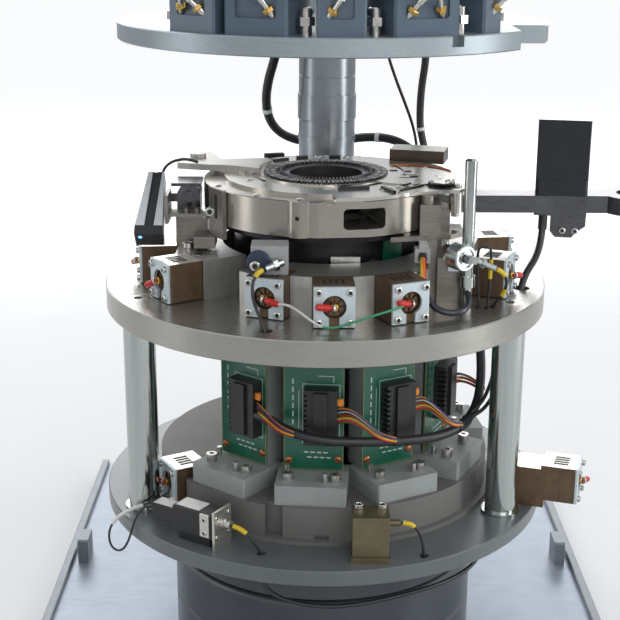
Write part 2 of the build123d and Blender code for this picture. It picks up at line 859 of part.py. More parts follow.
def cam_base_ring():
    flat = RegularPolygon(base_ring_flat, base_ring_sides, major_radius=False, rotation=base_ring_turn)
    body = Pos(0, 0, z_top) * extrude(flat, base_ring_h)
    body -= disc(base_ring_ri, z_top - 1, z_top + base_ring_h + 1)
    for angle, outer in upper_actuators:
        body -= actuator_zone(angle, outer, face_gap)
        body -= plunger_bore(angle)
    gap = face_gap
    body -= block(left_block_x0 - gap - 30, left_block_x1 + gap, left_block_y0 - gap, left_block_y1 + gap,
                  z_top - 1, z_top + left_block_h + 5)
    body -= block(post_x0 - back_post_w - gap, post_x1 + 60, post_y0 - 40, post_y1 + gap,
                  z_top - 1, z_top + shelf_lift)
    body -= left_gap(gap)
    body -= disc(column_foot_r + gap, z_top - 1, z_top + base_ring_h + 1, column_x, column_y)
    return group([s for s in body.solids() if s.volume > 3000])


def left_gap(gap):
    near, far = base_ring_ri - 6, base_ring_flat + 30
    turn = cam_side_angle
    side = [turned_point(act_w / 2 + gap, -r, turn) for r in (far, near)]
    inner = polar(near, left_gap_angle)
    outer = polar(far + 10, left_gap_angle)
    corner = polar(far + 30, (turn + left_gap_angle) / 2)
    return prism([side[0], side[1], inner, outer, corner], z_top - 1, z_top + left_block_h + 1)


def left_cam_block():
    z1 = z_top + left_block_h
    body = block(left_block_x0, left_block_x1, left_block_y0, left_block_y1, z_top, z1)
    half = act_w / 2
    body += turned(block(-half, half, -base_ring_flat, -base_ring_ri + 4, z_top, z1), cam_side_angle)
    body -= turned(block(half, half * 6, -base_ring_flat - 30, 0, z_top - 1, z1 + 1), cam_side_angle)
    body -= disc(base_ring_ri, z_top - 1, z1 + 1)
    for angle, outer in upper_actuators[:2]:
        body -= actuator_zone(angle, outer, face_gap)
        body -= plunger_bore(angle)
    return max(body.solids(), key=lambda s: s.volume)


def cam_carrier():
    body = disc(carrier_r, z_top, z_cam)
    body += disc(carrier_flange_r, z_cam - carrier_flange_h, z_cam)
    body -= disc(carrier_ri, z_top - 1, z_cam + 1)
    front = -carrier_r - 1
    lug = block(carrier_block_x - carrier_block_w / 2, carrier_block_x + carrier_block_w / 2,
                front - carrier_block_d, front + 10, z_top + carrier_block_z,
                z_top + carrier_block_z + carrier_block_h)
    body += lug - disc(carrier_ri, z_top, z_cam)
    return body


def window_cut(r0, r1):
    z0 = z_cam + window_lift
    hole = block(-window_w / 2, window_w / 2, -r1, -r0, z0, z0 + window_h)
    hole = fillet(hole.edges().filter_by(Axis.Y), window_corner)
    return turned(hole, window_angle)


def cams_range():
    return z_cam_top - cams_h, z_cam_top - sinker_h - 2


def knitting_cams():
    z0, z1 = cams_range()
    body = ring(cam_ring_ri - seat_gap, cams_ri, z0, z1)
    mid = z_cyl_top - needle_butt_below + needle_butt_h / 2
    body -= ring(cam_track_r, cams_ri - 1, mid - cam_track_h / 2, mid + cam_track_h / 2)
    body -= window_cut(cams_ri - 4, cam_ring_r)
    return body


def front_flat(z0, z1):
    return turned(block(-60, 60, -cam_ring_r - 10, -flat_reach, z0, z1), flat_angle)


def cam_ring():
    body = disc(cam_ring_r, z_cam, z_cam_top)
    body = chamfer(body.edges().group_by(Axis.Z)[-1], 0.8)
    body -= front_flat(z_cam - 1, z_cam_top + 1)
    boss = disc(boss_r, z_cam, z_cam_top, 0, -cam_ring_r - boss_reach + boss_r)
    body += turned(boss, boss_angle)
    body -= disc(cam_ring_ri, z_cam - 1, z_cam_top + 1)
    body -= window_cut(cam_ring_ri - 4, cam_ring_r + 10)
    hole = bar_y(boss_hole_r, -cam_ring_r - 12, -cam_ring_r + 10, 0, z_cam + 18)
    body -= turned(hole, boss_angle)
    notch = block(-notch_w / 2, notch_w / 2, -cam_ring_r - 5, -cam_ring_r + 5,
                  z_cam_top - notch_h, z_cam_top + 1)
    body -= turned(notch, 1.5)
    return body


def cover_outline():
    skirt = disc(cam_ring_r, z_cam_top, z_cover_top)
    skirt -= front_flat(z_cam_top - 1, z_cover_top + 1)
    skirt &= prism(skirt_outline, z_cam_top - 1, z_cover_top + 1)
    return disc(cover_r, z_cam_top, z_cover_top) + skirt + prism(lobe_outline, z_cam_top, z_cover_top)


def cam_cover():
    body = cover_outline()
    body += disc(dial_r, z_cover_top, z_cover_top + dial_t, dial_x, dial_y)
    body += disc(cap_r, z_cover_top, z_cover_top + cap_t)
    body -= disc(sinker_r + hole_gap, z_cam_top - 1, z_cover_top + cap_t + 1)
    for x, y in cover_screw_places:
        body -= disc(cover_screw_r, z_cover_top - cover_t / 2, z_cover_top + 1, x, y)
    for x, y in dial_screw_places:
        body -= disc(dial_screw_r, z_cover_top - cover_t / 2, z_cover_top + dial_t + 1, x, y)
    for x, y, w, h, turn in cover_slots:
        body -= Pos(x, y, z_cover_top + dial_t) * Rot(0, 0, turn) * Box(w, h, cover_slot_d * 2)
    body += disc(roller_r / 2, z_cam_top - roller_sink, z_cam_top + 1, roller_x, roller_y)
    return body


def cam_roller():
    top = z_cam_top - roller_sink
    body = disc(roller_r, top - roller_h, top, roller_x, roller_y)
    body += disc(roller_r - 2.5, top - roller_h - roller_foot_h, top - roller_h, roller_x, roller_y)
    return body


def rear_arms():
    z0 = z_cover_top
    left = prism(left_arm_outline, z0, z0 + left_arm_t)
    left -= disc(cap_r + face_gap, z0 - 1, z0 + left_arm_t + 1)
    left += disc(arm_button_r, z0 + left_arm_t - 1, z0 + left_arm_t + 4, arm_button_x, arm_button_y)
    right = Pos(78, 66, z0) * Rot(0, 0, right_arm_turn) * block(-32, 34, -9, 9, 0, 7)
    right += Pos(96, 92, z0) * Rot(0, 0, right_arm_turn) * block(-26, 30, -19, 14, -cover_t, 10)
    right -= disc(cap_r + face_gap, z0 - 1, z0 + 9)
    right -= disc(dial_r + face_gap, z0 - 1, z0 + dial_t + 0.3, dial_x, dial_y)
    return group([left, max(right.solids(), key=lambda s: s.volume)])


# Left bracket, sensor amplifier

def left_bracket():
    r0 = cam_ring_r + 0.1
    z0 = z_top + slot_plate_lift
    plate = block(-slot_plate_w / 2, slot_plate_w / 2, -r0 - slot_plate_t, -r0,
                  z0 - 2, z0 + slot_plate_h - 4)
    plate -= block(-plate_slot_w / 2, plate_slot_w / 2, -r0 - slot_plate_t - 1, -r0 + 1,
                   z0 + 16, z0 + slot_plate_h - 10)
    plate = turned(plate, slot_plate_angle)
    z_block = z_top + left_block_h
    z_arm = z_top + bracket_lift
    x0 = -cam_ring_r - bracket_reach
    riser = block(x0 + 8, x0 + 38, -34, -4, z_block, z_arm)
    arm = block(x0, x0 + 39, -52, -30, z_arm, z_arm + bracket_t)
    cheek = block(x0, x0 + bracket_t, -56, -22, z_arm - 6, z_arm + 21)
    link = block(x0 + 27, x0 + 47, -62, -32, z_block + 4, z_block + 15)
    body = riser + arm + cheek + link
    body -= disc(cam_ring_r + slot_plate_t + hole_gap, z_cam - 1, z_cover_top + 20)
    body -= disc(carrier_flange_r + hole_gap, z_top, z_cam)
    body += plate
    for x in (x0 + 19, x0 + 29):
        body += disc(3, z_arm + bracket_t - 1, z_arm + bracket_t + 4, x, -45)
    return body


def small_motor():
    z0 = z_top + bracket_lift
    z_axis = z0 + small_motor_lift
    x = small_motor_x
    body = bar_y(small_motor_r, -29, 2, x, z_axis)
    body += bar_y(small_motor_r - 6, -34, -28, x, z_axis)
    body += block(x - small_motor_r, x + small_motor_r, -29, -4, z0, z_axis)
    body += block(x - 16, x + 12, -32, 2, z_axis + small_motor_r - 1, z_axis + small_motor_r + 2)
    body += block(x - 17, x - small_motor_r + 1, -26, -14, z_axis - 6, z_axis + 2)
    return body


def amplifier_place():
    return Pos(amp_x, amp_y, z_top + amp_lift) * Rot(amp_tilt, 0, 0)


def sensor_amplifier():
    half = amp_len / 2
    low, high = -amp_h / 2, amp_h / 2
    body = prism([(-13.5, -half), (12, -half), (10.3, half), (-5, half)], low, high)
    strip = [(-4.4, -half - 1), (3, -half - 1), (4.2, half + 1), (0.6, half + 1)]
    groove = prism(strip, high - 0.8, high + 1)
    cap = block(-13.5, 12.5, -half - amp_cap, -half, low - 0.5, high + 0.5)
    return amplifier_place() * (body - groove + chamfer(cap.edges().group_by(Axis.Y)[0], 0.8))


# Disc block with its sensor

def disc_sensor_place():
    return Pos(-53.7, -153.8, 454.1) * Rot(0, 0, 22) * Rot(0, -16, 0)


def disc_block():
    z0 = z_top + base_ring_h
    body = block(-67, -34, -139, -116, z0, z0 + 26)
    body = chamfer(body.edges().filter_by(Axis.Y), 0.8)
    wheel = bar_y(10.5, -145, -139, -60.5, z0 + 11.5)
    wheel = chamfer(wheel.edges().filter_by(GeomType.CIRCLE), 1.0)
    return body + wheel + bar_y(4, -147, -145, -63, z0 + 10)


# Right bracket, air cylinder, guide rod

def right_bracket():
    z_shelf = z_top + shelf_lift
    z_on = z_shelf + shelf_t
    post = block(post_x0, post_x1, post_y0, post_y1, z_top, z_top + post_h)
    back_post = block(post_x0 - back_post_w, post_x0, post_y0 + 12, post_y1, z_top, z_shelf)
    shelf = prism(shelf_outline, z_shelf, z_on)
    shelf -= disc(carrier_flange_r + face_gap, z_shelf - 1, z_on + 1)
    body = post + back_post + shelf
    tie = block(post_x0 - back_post_w, post_x0 + 12, post_y1 - 9, post_y1, z_top + 20, z_shelf + 1)
    body += tie
    for x, y in shelf_screw_places:
        body += disc(shelf_screw_r, z_on, z_on + shelf_screw_h, x, y)
    return body


def alloy_block():
    z_on = z_top + shelf_lift + shelf_t
    x0 = cam_ring_r - 33
    y0 = -cam_ring_r + 27
    tall = block(x0, x0 + 19, y0, y0 + 33, z_on, z_on + 28)
    low = block(x0 + 18, x0 + 28, y0 + 8, y0 + 39, z_on, z_on + 22)
    body = tall + low
    body -= disc(cam_ring_r + face_gap, z_on - 1, z_cover_top)
    body = max(body.solids(), key=lambda s: s.volume)
    return body + disc(knob_r, z_on + 27, z_cam_top - face_gap, x0 + 7, y0 + 6.5)


def wire_connector():
    z1 = z_top + shelf_lift
    body = block(84, 92, -104, -94, z1 - 6, z1)
    body += block(80, 94, -106, -92, z1 - 18, z1 - 5)
    body -= block(83, 91, -107, -104, z1 - 16, z1 - 8)
    return body


def air_frame():
    return Pos(air_x, air_y, z_top + air_lift) * Rot(0, 0, air_turn)


def right_sensor_place():
    return Pos(133, -131, z_top + 48.5) * Rot(0, 0, sensor_turn) * Rot(0, sensor_dip, 0)


def air_cylinder():
    body = bar_y(air_r, 0, air_len, 0, 0)
    body = chamfer(body.edges().filter_by(GeomType.CIRCLE), 1.0)
    body -= bar_y(air_r - 3, -1, 1.5, 0, 0)
    body += bar_y(air_r - 6, 0.2, 2, 0, 0)
    body -= bar_y(air_rod_r + run_gap, -1, air_len - 3, 0, 0)
    body = air_frame() * body
    body += right_sensor_place() * block(-9, 0, -3.2, 3.2, -3.2, 3.2)
    body -= air_frame() * bar_y(air_rod_r + run_gap, -1, air_len - 3, 0, 0)
    body += block(108, 117, -128, post_y0, z_top + 38, z_top + 50)
    body += bar_y(4.3, -117, -99, 107.5, z_top + 56)
    body += block(105, 112, -114, -104.2, z_top + 45, z_top + 55)
    return body


def air_rod():
    pin = bar_y(air_rod_r, -5.5, air_len - 4, 0, 0)
    nut = bar_y(4.2, -4.5, -0.5, 0, 0)
    flats = Rot(90, 0, 0) * extrude(RegularPolygon(4.4, 6), 6, both=True)
    return air_frame() * (pin + (nut & flats))


def right_sensor():
    tube = bar_x(sensor_r, 0, sensor_len, 0, 0)
    nut = extrude(Plane.YZ * RegularPolygon(4.6, 6), 3)
    return right_sensor_place() * (tube + Pos(5, 0, 0) * nut)


def disc_sensor():
    tube = bar_x(3.4, 0, 17, 0, 0)
    nut = extrude(Plane.YZ * RegularPolygon(5.4, 6), 4)
    foot = block(11, 16, 2, 16, -3, 3)
    body = disc_sensor_place() * (tube + Pos(8, 0, 0) * nut + foot)
    return body - block(-70, -20, -139, -120, z_top, z_cover_top)


def guide_rod():
    rod = disc(guide_r, z_top, z_top + guide_h, guide_x, guide_y)
    top = rod.edges().filter_by(GeomType.CIRCLE).sort_by(Axis.Z)[-1]
    return chamfer(top, 2.0) + disc(guide_r + guide_collar, z_top + 20, z_top + 30, guide_x, guide_y)


# Motor arm and motor

def motor_arm():
    z0 = z_top + arm_lift
    bar = block(cam_ring_r - 2, arm_eye_x, arm_y0, arm_y1, z0, z0 + arm_t)
    eye_y = (arm_y0 + arm_y1) / 2
    bar += disc(arm_eye_r, z0, z0 + arm_t, arm_eye_x, eye_y)
    bar -= disc(arm_hole_r, z0 - 1, z0 + arm_t + 1, arm_eye_x, eye_y)
    clamp_z = z_top + clamp_lift
    bar += motor_block(0, clamp_z, clamp_z + clamp_t + 2)
    side = [(-9, 1), (-9, -15), (-4, -21), (12, -21), (17, -15), (25, -9), (25, 1)]
    ear = extrude(Plane.XZ * Polygon(*side, align=None), 12, dir=(0, 1, 0))
    bar += motor_frame() * Pos(0, -motor_w / 2, clamp_z) * ear
    bar -= disc(cam_ring_r + 0.1, z0 - 1, z0 + arm_t + 1)
    bar -= disc(14, clamp_z - 1, clamp_z + clamp_t + 3, motor_x, motor_y)
    return bar


def motor_frame():
    return Pos(motor_x, motor_y, 0) * Rot(0, 0, motor_turn)


def motor_block(inset, z0, z1, corner=0.0):
    half = motor_w / 2 - inset
    body = block(-half, half, -half, half, z0, z1)
    body = fillet(body.edges().filter_by(Axis.Z), corner) if corner else body
    return motor_frame() * body


def motor_level():
    return z_top + clamp_lift + clamp_t + 2


def motor():
    z0 = motor_level()
    seam = z0 + motor_cap_h
    cap = motor_block(0, z0, seam, 4.0)
    cap -= disc(motor_shaft_r + run_gap, z0 - 1, seam - 2, motor_x, motor_y)
    body = cap + motor_block(0, seam, z0 + motor_h, 1.5)
    groove = motor_block(-1, seam - 0.5, seam + 0.5) - motor_block(0.6, seam - 1, seam + 1)
    return body - groove


def motor_shaft():
    z0 = motor_level()
    shaft = disc(motor_shaft_r, z0 - clamp_t - 8, z0 + motor_cap_h - 3)
    wheel = disc(9, z0 - clamp_t - 6, z0 - 4)
    groove = disc(1.2, z0 - clamp_t - 7, z0 - 3, 9, 0)
    wheel -= [turned(groove, 20 * i) for i in range(18)]
    return Pos(motor_x, motor_y, 0) * (shaft + wheel)


# Column and head

def column():
    top = z_head_top + column_top_above
    body = disc(column_r, z_top, top, column_x, column_y)
    body += disc(column_foot_r, z_top, z_top + column_foot_h, column_x, column_y)
    band = z_top + band_lift
    body += disc(column_band_r, band, band + band_h, column_x, column_y)
    body += disc(column_band_r, z_top + 107, z_top + 112, column_x, column_y)
    for z in (z_top + 64, z_top + 86, z_top + 128.2, z_top + 175):
        body -= ring(column_r + 3, column_r - 1.2, z, z + 1.6, column_x, column_y)
    key = block(column_x - 3.5, column_x + 3.5, column_y - column_r - 1, column_y - column_r + 2.2,
                z_top + 10, z_top + band_lift + band_h)
    return body + key


def head_plate():
    body = disc(head_r, z_head, z_head_top, head_x, head_y)
    rims = body.edges().filter_by(GeomType.CIRCLE)
    body = chamfer(rims, plate_edge)
    body -= block(head_cut_x, head_x + head_r + 5, -head_r, head_cut_y, z_head - 1, z_head_top + 1)
    body -= block(head_cut_x - 12, head_cut_x + 1, head_cut_y - 30, head_cut_y - 20,
                  z_head + 3, z_head_top - 4)
    notch = block(-6, 6, -head_r - 1, -head_r + 9, z_head_top - 9, z_head_top + 1)
    body -= Pos(head_x, head_y, 0) * turned(notch, 30)
    hub = disc(hub_r, z_head_top - 1, z_head_top + hub_h, column_x, column_y)
    body += hub - block(-80, 80, column_y + hub_r - 6, column_y + hub_r + 9,
                        z_head_top, z_head_top + hub_h + 1)
    body -= disc(column_r + run_gap, z_head - 1, z_head_top + hub_h + 1, column_x, column_y)
    return body


def feeder_block(width):
    y0 = -feeder_outer
    y1 = y0 + feeder_depth
    z0 = z_head_top
    body = block(-width / 2, width / 2, y0, y1, z0, z0 + feeder_h)
    body = fillet(body.edges().filter_by(Axis.Y).sort_by(Axis.Z)[-2:], min(10.0, width / 4))
    body = chamfer(body.edges().filter_by(Axis.Z), 2.0)
    if width > 30:
        recess = block(-width / 2 + 10, width / 2 - 10, y0 - 1, y0 + 3, z0 + 14, z0 + feeder_h + 1)
        body -= fillet(recess.edges().filter_by(Axis.Y), 3.0)
        body += bar_y(7, y0, y0 + 8, 0, z0 + 34)
    return body


def feeder_blocks():
    blocks = []
    for angle, width in zip(feeder_angles, feeder_widths):
        blocks.append(Pos(head_x, head_y, 0) * turned(feeder_block(width), angle))
    return group(blocks)


def elbows():
    parts = []
    for angle in elbow_angles:
        y = -feeder_outer + 16
        post = disc(elbow_r, z_head_top, z_head_top + 22, 0, y)
        post += Pos(0, y, z_head_top + 8) * extrude(RegularPolygon(7.5, 6), 7)
        post += bar_y(elbow_r - 0.5, y, y + 14, 0, z_head_top + 18)
        parts.append(Pos(head_x, head_y, 0) * turned(post, angle))
    return group(parts)


# Valve and sensor block on the lower plate

def valve():
    w = valve_half_w
    body = block(-26, 20, -w, w, 0, valve_h)
    body = chamfer(body.edges().filter_by(Axis.X).sort_by(Axis.Z)[-2:], 1.0)
    nose = block(-54, -26, 3 - w, w - 3, 3, valve_h - 6)
    x1 = 20 + valve_plate_t
    plate = block(20, x1, -w - 2, w + 2, -valve_foot_h, valve_h + 4)
    foot = block(-20, 14, 2 - w, w - 2, -valve_foot_h, 0)
    face = block(6, 16, -w - 2, -w, 2, valve_h)
    gland = bar_x(gland_r, x1, x1 + gland_len, 0, 14)
    shape = body + nose + plate + foot + face + gland
    return Pos(valve_x, valve_y, z_low_top + valve_foot_h) * Rot(0, 0, valve_turn) * shape


def sensor_block():
    x0 = block_x0
    x1 = x0 + block_w
    z0 = z_low_top + block_base_h
    z1 = z0 + block_h
    body = block(x0, x1, block_y0, block_y1, z0, z1)
    body = chamfer(body.edges().filter_by(Axis.Z), 0.6)
    body += block(x0 - 1, x1 + 1, block_y0 - 3, block_y1 + 1.5, z_low_top, z0)
    body += bar_x(3, x1, x1 + 10, block_y0 + 12, z_low_top + block_gland_z)
    for x in (x0 + 6, x1 - 6):
        body += disc(4, z1, z1 + block_screw_h, x, block_y1 - 6)
    return body


# Cords

def cord_tube(name, points, radius):
    knots = [Vector(*p) for p in points]
    runs = [b - a for a, b in zip(knots, knots[1:])]
    radii = []
    for first, second in zip(runs, runs[1:]):
        half_turn = radians(first.get_angle(second)) / 2
        radii.append(0.45 * min(first.length, second.length) / tan(half_turn))
    path = FilletPolyline(*points, radius=radii)
    section = Plane(origin=path @ 0, z_dir=path % 0) * Circle(radius)
    tube = sweep(section, path=path)
    share = tube.volume / (pi * radius ** 2 * path.length)
    print(name, "length", round(path.length, 1), "tightest", round(min(radii) / (2 * radius), 1), "dia",
          "volume share", round(share, 3))
    return tube


def sensor_leads():
    leads = {**upper_leads, **lower_leads, "amplifier_lead": amplifier_lead}
    tubes = [cord_tube(name, route, lead_r) for name, route in leads.items()]
    tubes.append(cord_tube("valve_wire", valve_wire_route, valve_wire_r))
    return group(tubes)


# Fasteners

def fasteners():
    screws = []
    for i in range(selector_count):
        for x, y in foot_screw_places():
            screw = disc(foot_screw_r, z_casting - foot_screw_into + 1, z_foot + 1, x, y)
            head = disc(foot_screw_head_r, z_foot, z_foot + foot_screw_head_h, x, y)
            head -= Pos(x, y, z_foot + 4) * extrude(RegularPolygon(2.6, 6), 5)
            screws.append(turned(screw + head, selector_first + i * selector_step))
        for x, y in dowel_places():
            dowel = disc(dowel_r, z_foot, z_foot + dowel_h, x, y)
            screws.append(turned(dowel, selector_first + i * selector_step))
    for angle in pillar_angles:
        x, y = polar(pillar_pitch_r, angle)
        if abs(y - column_y) > column_r:
            screw = disc(pillar_screw_r, z_top - pillar_screw_len, z_top - 0.2, x, y)
            screw += countersink(0.0, x, y) - disc(30, z_top - 0.2, z_top + 1, x, y)
            screw -= Pos(x, y, z_top - 4) * extrude(RegularPolygon(4.6, 6), 5)
            screws.append(screw)
    return group(screws)


# Output

def nodes():
    made = {
        "bed_plate": bed_plate(),
        "bed_trims": group([bed_trims(), bed_stops()]),
        "pedestal": pedestal(),
        "lower_plate": lower_plate(),
        "pillars": pillars(),
        "upper_plate": upper_plate(),
        "fasteners": fasteners(),
        "needle_cylinder": needle_cylinder(),
        "needles": needles(),
        "selector_jacks": selector_jacks(),
        "sinker_ring": sinker_ring(),
        "spindle_bearings": spindle_bearings(),
        "bull_gear": bull_gear(),
        "drive_pinion": drive_pinion(),
        "selector_casting": selector_casting(),
        "selector_holders": group(around_selectors(selector_holder())),
        "selector_boards": group(around_selectors(selector_board())),
        "board_plugs": group(around_selectors(board_plug())),
        "actuator_bodies": actuator_bodies(),
        "actuator_end_plates": actuator_end_plates(),
        "cam_base_ring": cam_base_ring(),
        "left_cam_block": left_cam_block(),
        "cam_carrier": cam_carrier(),
        "knitting_cams": knitting_cams(),
        "cam_ring": cam_ring(),
        "cam_cover": group([cam_cover(), cam_roller()]),
        "rear_arms": rear_arms(),
        "left_bracket": left_bracket(),
        "small_motor": small_motor(),
        "sensor_amplifier": sensor_amplifier(),
        "disc_block": disc_block(),
        "right_bracket": right_bracket(),
        "alloy_block": alloy_block(),
        "wire_connector": wire_connector(),
        "air_cylinder": air_cylinder(),
        "air_rod": air_rod(),
        "proximity_sensors": group([right_sensor(), disc_sensor()]),
        "guide_rod": guide_rod(),
        "motor_arm": motor_arm(),
        "motor": motor(),
        "motor_shaft": motor_shaft(),
        "column": column(),
        "head_plate": head_plate(),
        "feeder_blocks": feeder_blocks(),
        "elbows": elbows(),
        "valve": valve(),
        "sensor_block": sensor_block(),
        "wire_harness": cord_tube("wire_harness", harness_route, harness_r),
        "motor_cable": cord_tube("motor_cable", motor_cable_route, motor_cable_r),
        "loop_cable": cord_tube("loop_cable", loop_route, loop_r),
        "under_cable": cord_tube("under_cable", under_route, under_r),
        "sensor_leads": sensor_leads(),
        "head_cables": group([cord_tube(name, route, r) for name, (r, route) in head_routes.items()]),
    }
    for index in range(len(upper_actuators)):
        made[f"plunger_{index + 1}"] = plunger(index)
    return made


os.makedirs("parts", exist_ok=True)
for node_name, node_shape in nodes().items():
    export_step(node_shape, f"parts/{node_name}.step")
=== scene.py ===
# %% [markdown]
# # A sock knitting machine, dressed for its picture
# The solids of the machine come in as a fixed frame: every plate, screw and gear already has its
# size and its place. Here they get their finishes, and the small things that are easier to draw
# than to machine are added: cables, coloured wires, screws, terminals and a lamp.

# %% Load the frame
import bpy
import bmesh
import math
from mathutils import Matrix, Vector


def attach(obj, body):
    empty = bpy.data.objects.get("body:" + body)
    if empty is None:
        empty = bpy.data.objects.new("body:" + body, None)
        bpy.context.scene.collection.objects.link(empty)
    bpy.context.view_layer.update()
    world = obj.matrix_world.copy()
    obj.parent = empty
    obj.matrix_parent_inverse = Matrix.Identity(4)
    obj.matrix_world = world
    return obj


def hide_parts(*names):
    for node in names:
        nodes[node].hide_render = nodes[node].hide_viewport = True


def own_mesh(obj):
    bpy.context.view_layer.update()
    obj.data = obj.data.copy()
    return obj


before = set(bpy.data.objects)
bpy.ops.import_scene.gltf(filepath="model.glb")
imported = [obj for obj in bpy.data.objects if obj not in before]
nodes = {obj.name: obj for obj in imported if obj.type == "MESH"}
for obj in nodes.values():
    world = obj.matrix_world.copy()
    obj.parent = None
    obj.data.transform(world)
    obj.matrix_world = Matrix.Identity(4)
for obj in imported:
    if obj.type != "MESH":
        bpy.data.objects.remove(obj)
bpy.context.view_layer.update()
MM, IN_MM = 0.001, 1000


def put(name, data):
    piece = bpy.data.objects.new(name, data)
    bpy.context.scene.collection.objects.link(piece)
    return piece


def shift(x, y, z):
    # a move, in millimetres
    return Matrix.Translation(Vector((x, y, z)) * MM)


def spin(degrees, axis="Z"):
    return Matrix.Rotation(math.radians(degrees), 4, axis)


# %% [markdown]
# ## Camera
# The picture is taken from the front, a little to the left of the knitting axis, looking down by
# seventeen degrees. The rims of the round plates show as ellipses, and their widths and heights
# give these numbers. A long lens keeps the ellipses flat, so the camera stands well back.

# %% Camera
LOOK_DOWN, LEAN = 16.94, 0.307
camera = put("camera", bpy.data.cameras.new("camera"))
camera.data.sensor_width = 36.0
camera.data.lens = 75.64
camera.data.clip_start = 0.05
camera.data.clip_end = 60.0
stand = Matrix.Translation((-0.01467, -1.24773, 0.75036))
camera.matrix_world = stand @ spin(90 - LOOK_DOWN, "X") @ spin(LEAN)
bpy.context.scene.camera = camera
print("lens", round(camera.data.lens, 2), "mm")

# %% [markdown]
# ## Turned and cut pieces
# Screws, collars and terminals are all turned or cut shapes. Each could be a primitive, but a real
# edge is never sharp. `lathe` spins a profile of radius and height, `slab` raises an outline with
# its rims taken off, and `hose` follows a line. They gather in one mesh, so a group of screws is
# one piece with a few paints.

# %% Shapes
unpainted = []


class Shapes:
    def __init__(self):
        self.mesh = bmesh.new()

    def skin(self, rings, paint):
        loops = [[self.mesh.verts.new(point) for point in ring] for ring in rings]
        for low, high in zip(loops, loops[1:]):
            for i in range(len(low)):
                j = (i + 1) % len(low)
                self.mesh.faces.new((low[i], low[j], high[j], high[i])).material_index = paint
        self.mesh.faces.new(loops[0][::-1]).material_index = paint
        self.mesh.faces.new(loops[-1]).material_index = paint

    def lathe(self, place, profile, sides=18, paint=0):
        turns = [2 * math.pi * i / sides for i in range(sides)]
        self.skin([[place @ (Vector((r * math.cos(a), r * math.sin(a), h)) * MM) for a in turns]
                   for r, h in profile], paint)

    def slab(self, place, outline, low, high, rim=0.3, paint=0):
        middle = sum((Vector(p) for p in outline), Vector((0, 0))) / len(outline)
        rings = []
        for inset, h in ((rim, low), (0, low + rim), (0, high - rim), (rim, high)):
            ring = []
            for p in outline:
                away = Vector(p) - middle
                p = middle + away * (1 - inset / max(away.length, inset * 2))
                ring.append(place @ (Vector((p.x, p.y, h)) * MM))
            rings.append(ring)
        self.skin(rings, paint)

    def hose(self, line, radius, sides=8, paint=0):
        rings, side = [], None
        for i, here in enumerate(line):
            ahead = (line[min(i + 1, len(line) - 1)] - line[max(i - 1, 0)]).normalized()
            side = ahead.orthogonal() if side is None else side - ahead * side.dot(ahead)
            side = side.normalized()
            other = ahead.cross(side)
            turns = [2 * math.pi * k / sides for k in range(sides)]
            rings.append([here + (side * math.cos(a) + other * math.sin(a)) * radius * MM
                          for a in turns])
        self.skin(rings, paint)

    def done(self, name, body, slot, *paints):
        mesh = bpy.data.meshes.new(name)
        bmesh.ops.recalc_face_normals(self.mesh, faces=self.mesh.faces)
        self.mesh.to_mesh(mesh)
        self.mesh.free()
        unpainted.append((mesh, paints))
        mesh.shade_smooth()
        mesh.set_sharp_from_angle(angle=math.radians(38))
        piece = put(name, mesh)
        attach(piece, body)
        print(name, len(mesh.polygons), "faces")
        return piece


def box_outline(width, height):
    x, y = width / 2, height / 2
    return [(-x, -y), (x, -y), (x, y), (-x, y)]


def standing(x, y, z, angle=0.0):
    # a place on the machine, in millimetres, with its height upwards
    return shift(x, y, z) @ spin(angle)


def facing(angle, x, y, z):
    # a place in a unit that is turned round the axis; its height points outwards from the axis
    return spin(angle) @ shift(x, y, z) @ spin(90, "X")


print("shapes: lathe, slab, hose")

# %% [markdown]
# ## Cables
# A cable is one smooth line with a round section. It could be swept along straight runs and arcs,
# as the solids are, but rubber has no such joints. A NURBS curve whose control points are the
# bends of the route gives one flowing line, and its two end points are met exactly. The table
# gives each cable's radius, the solid that it stands for, how stiff it is, and its route from
# where it leaves the machine to where it goes back in, in millimetres.

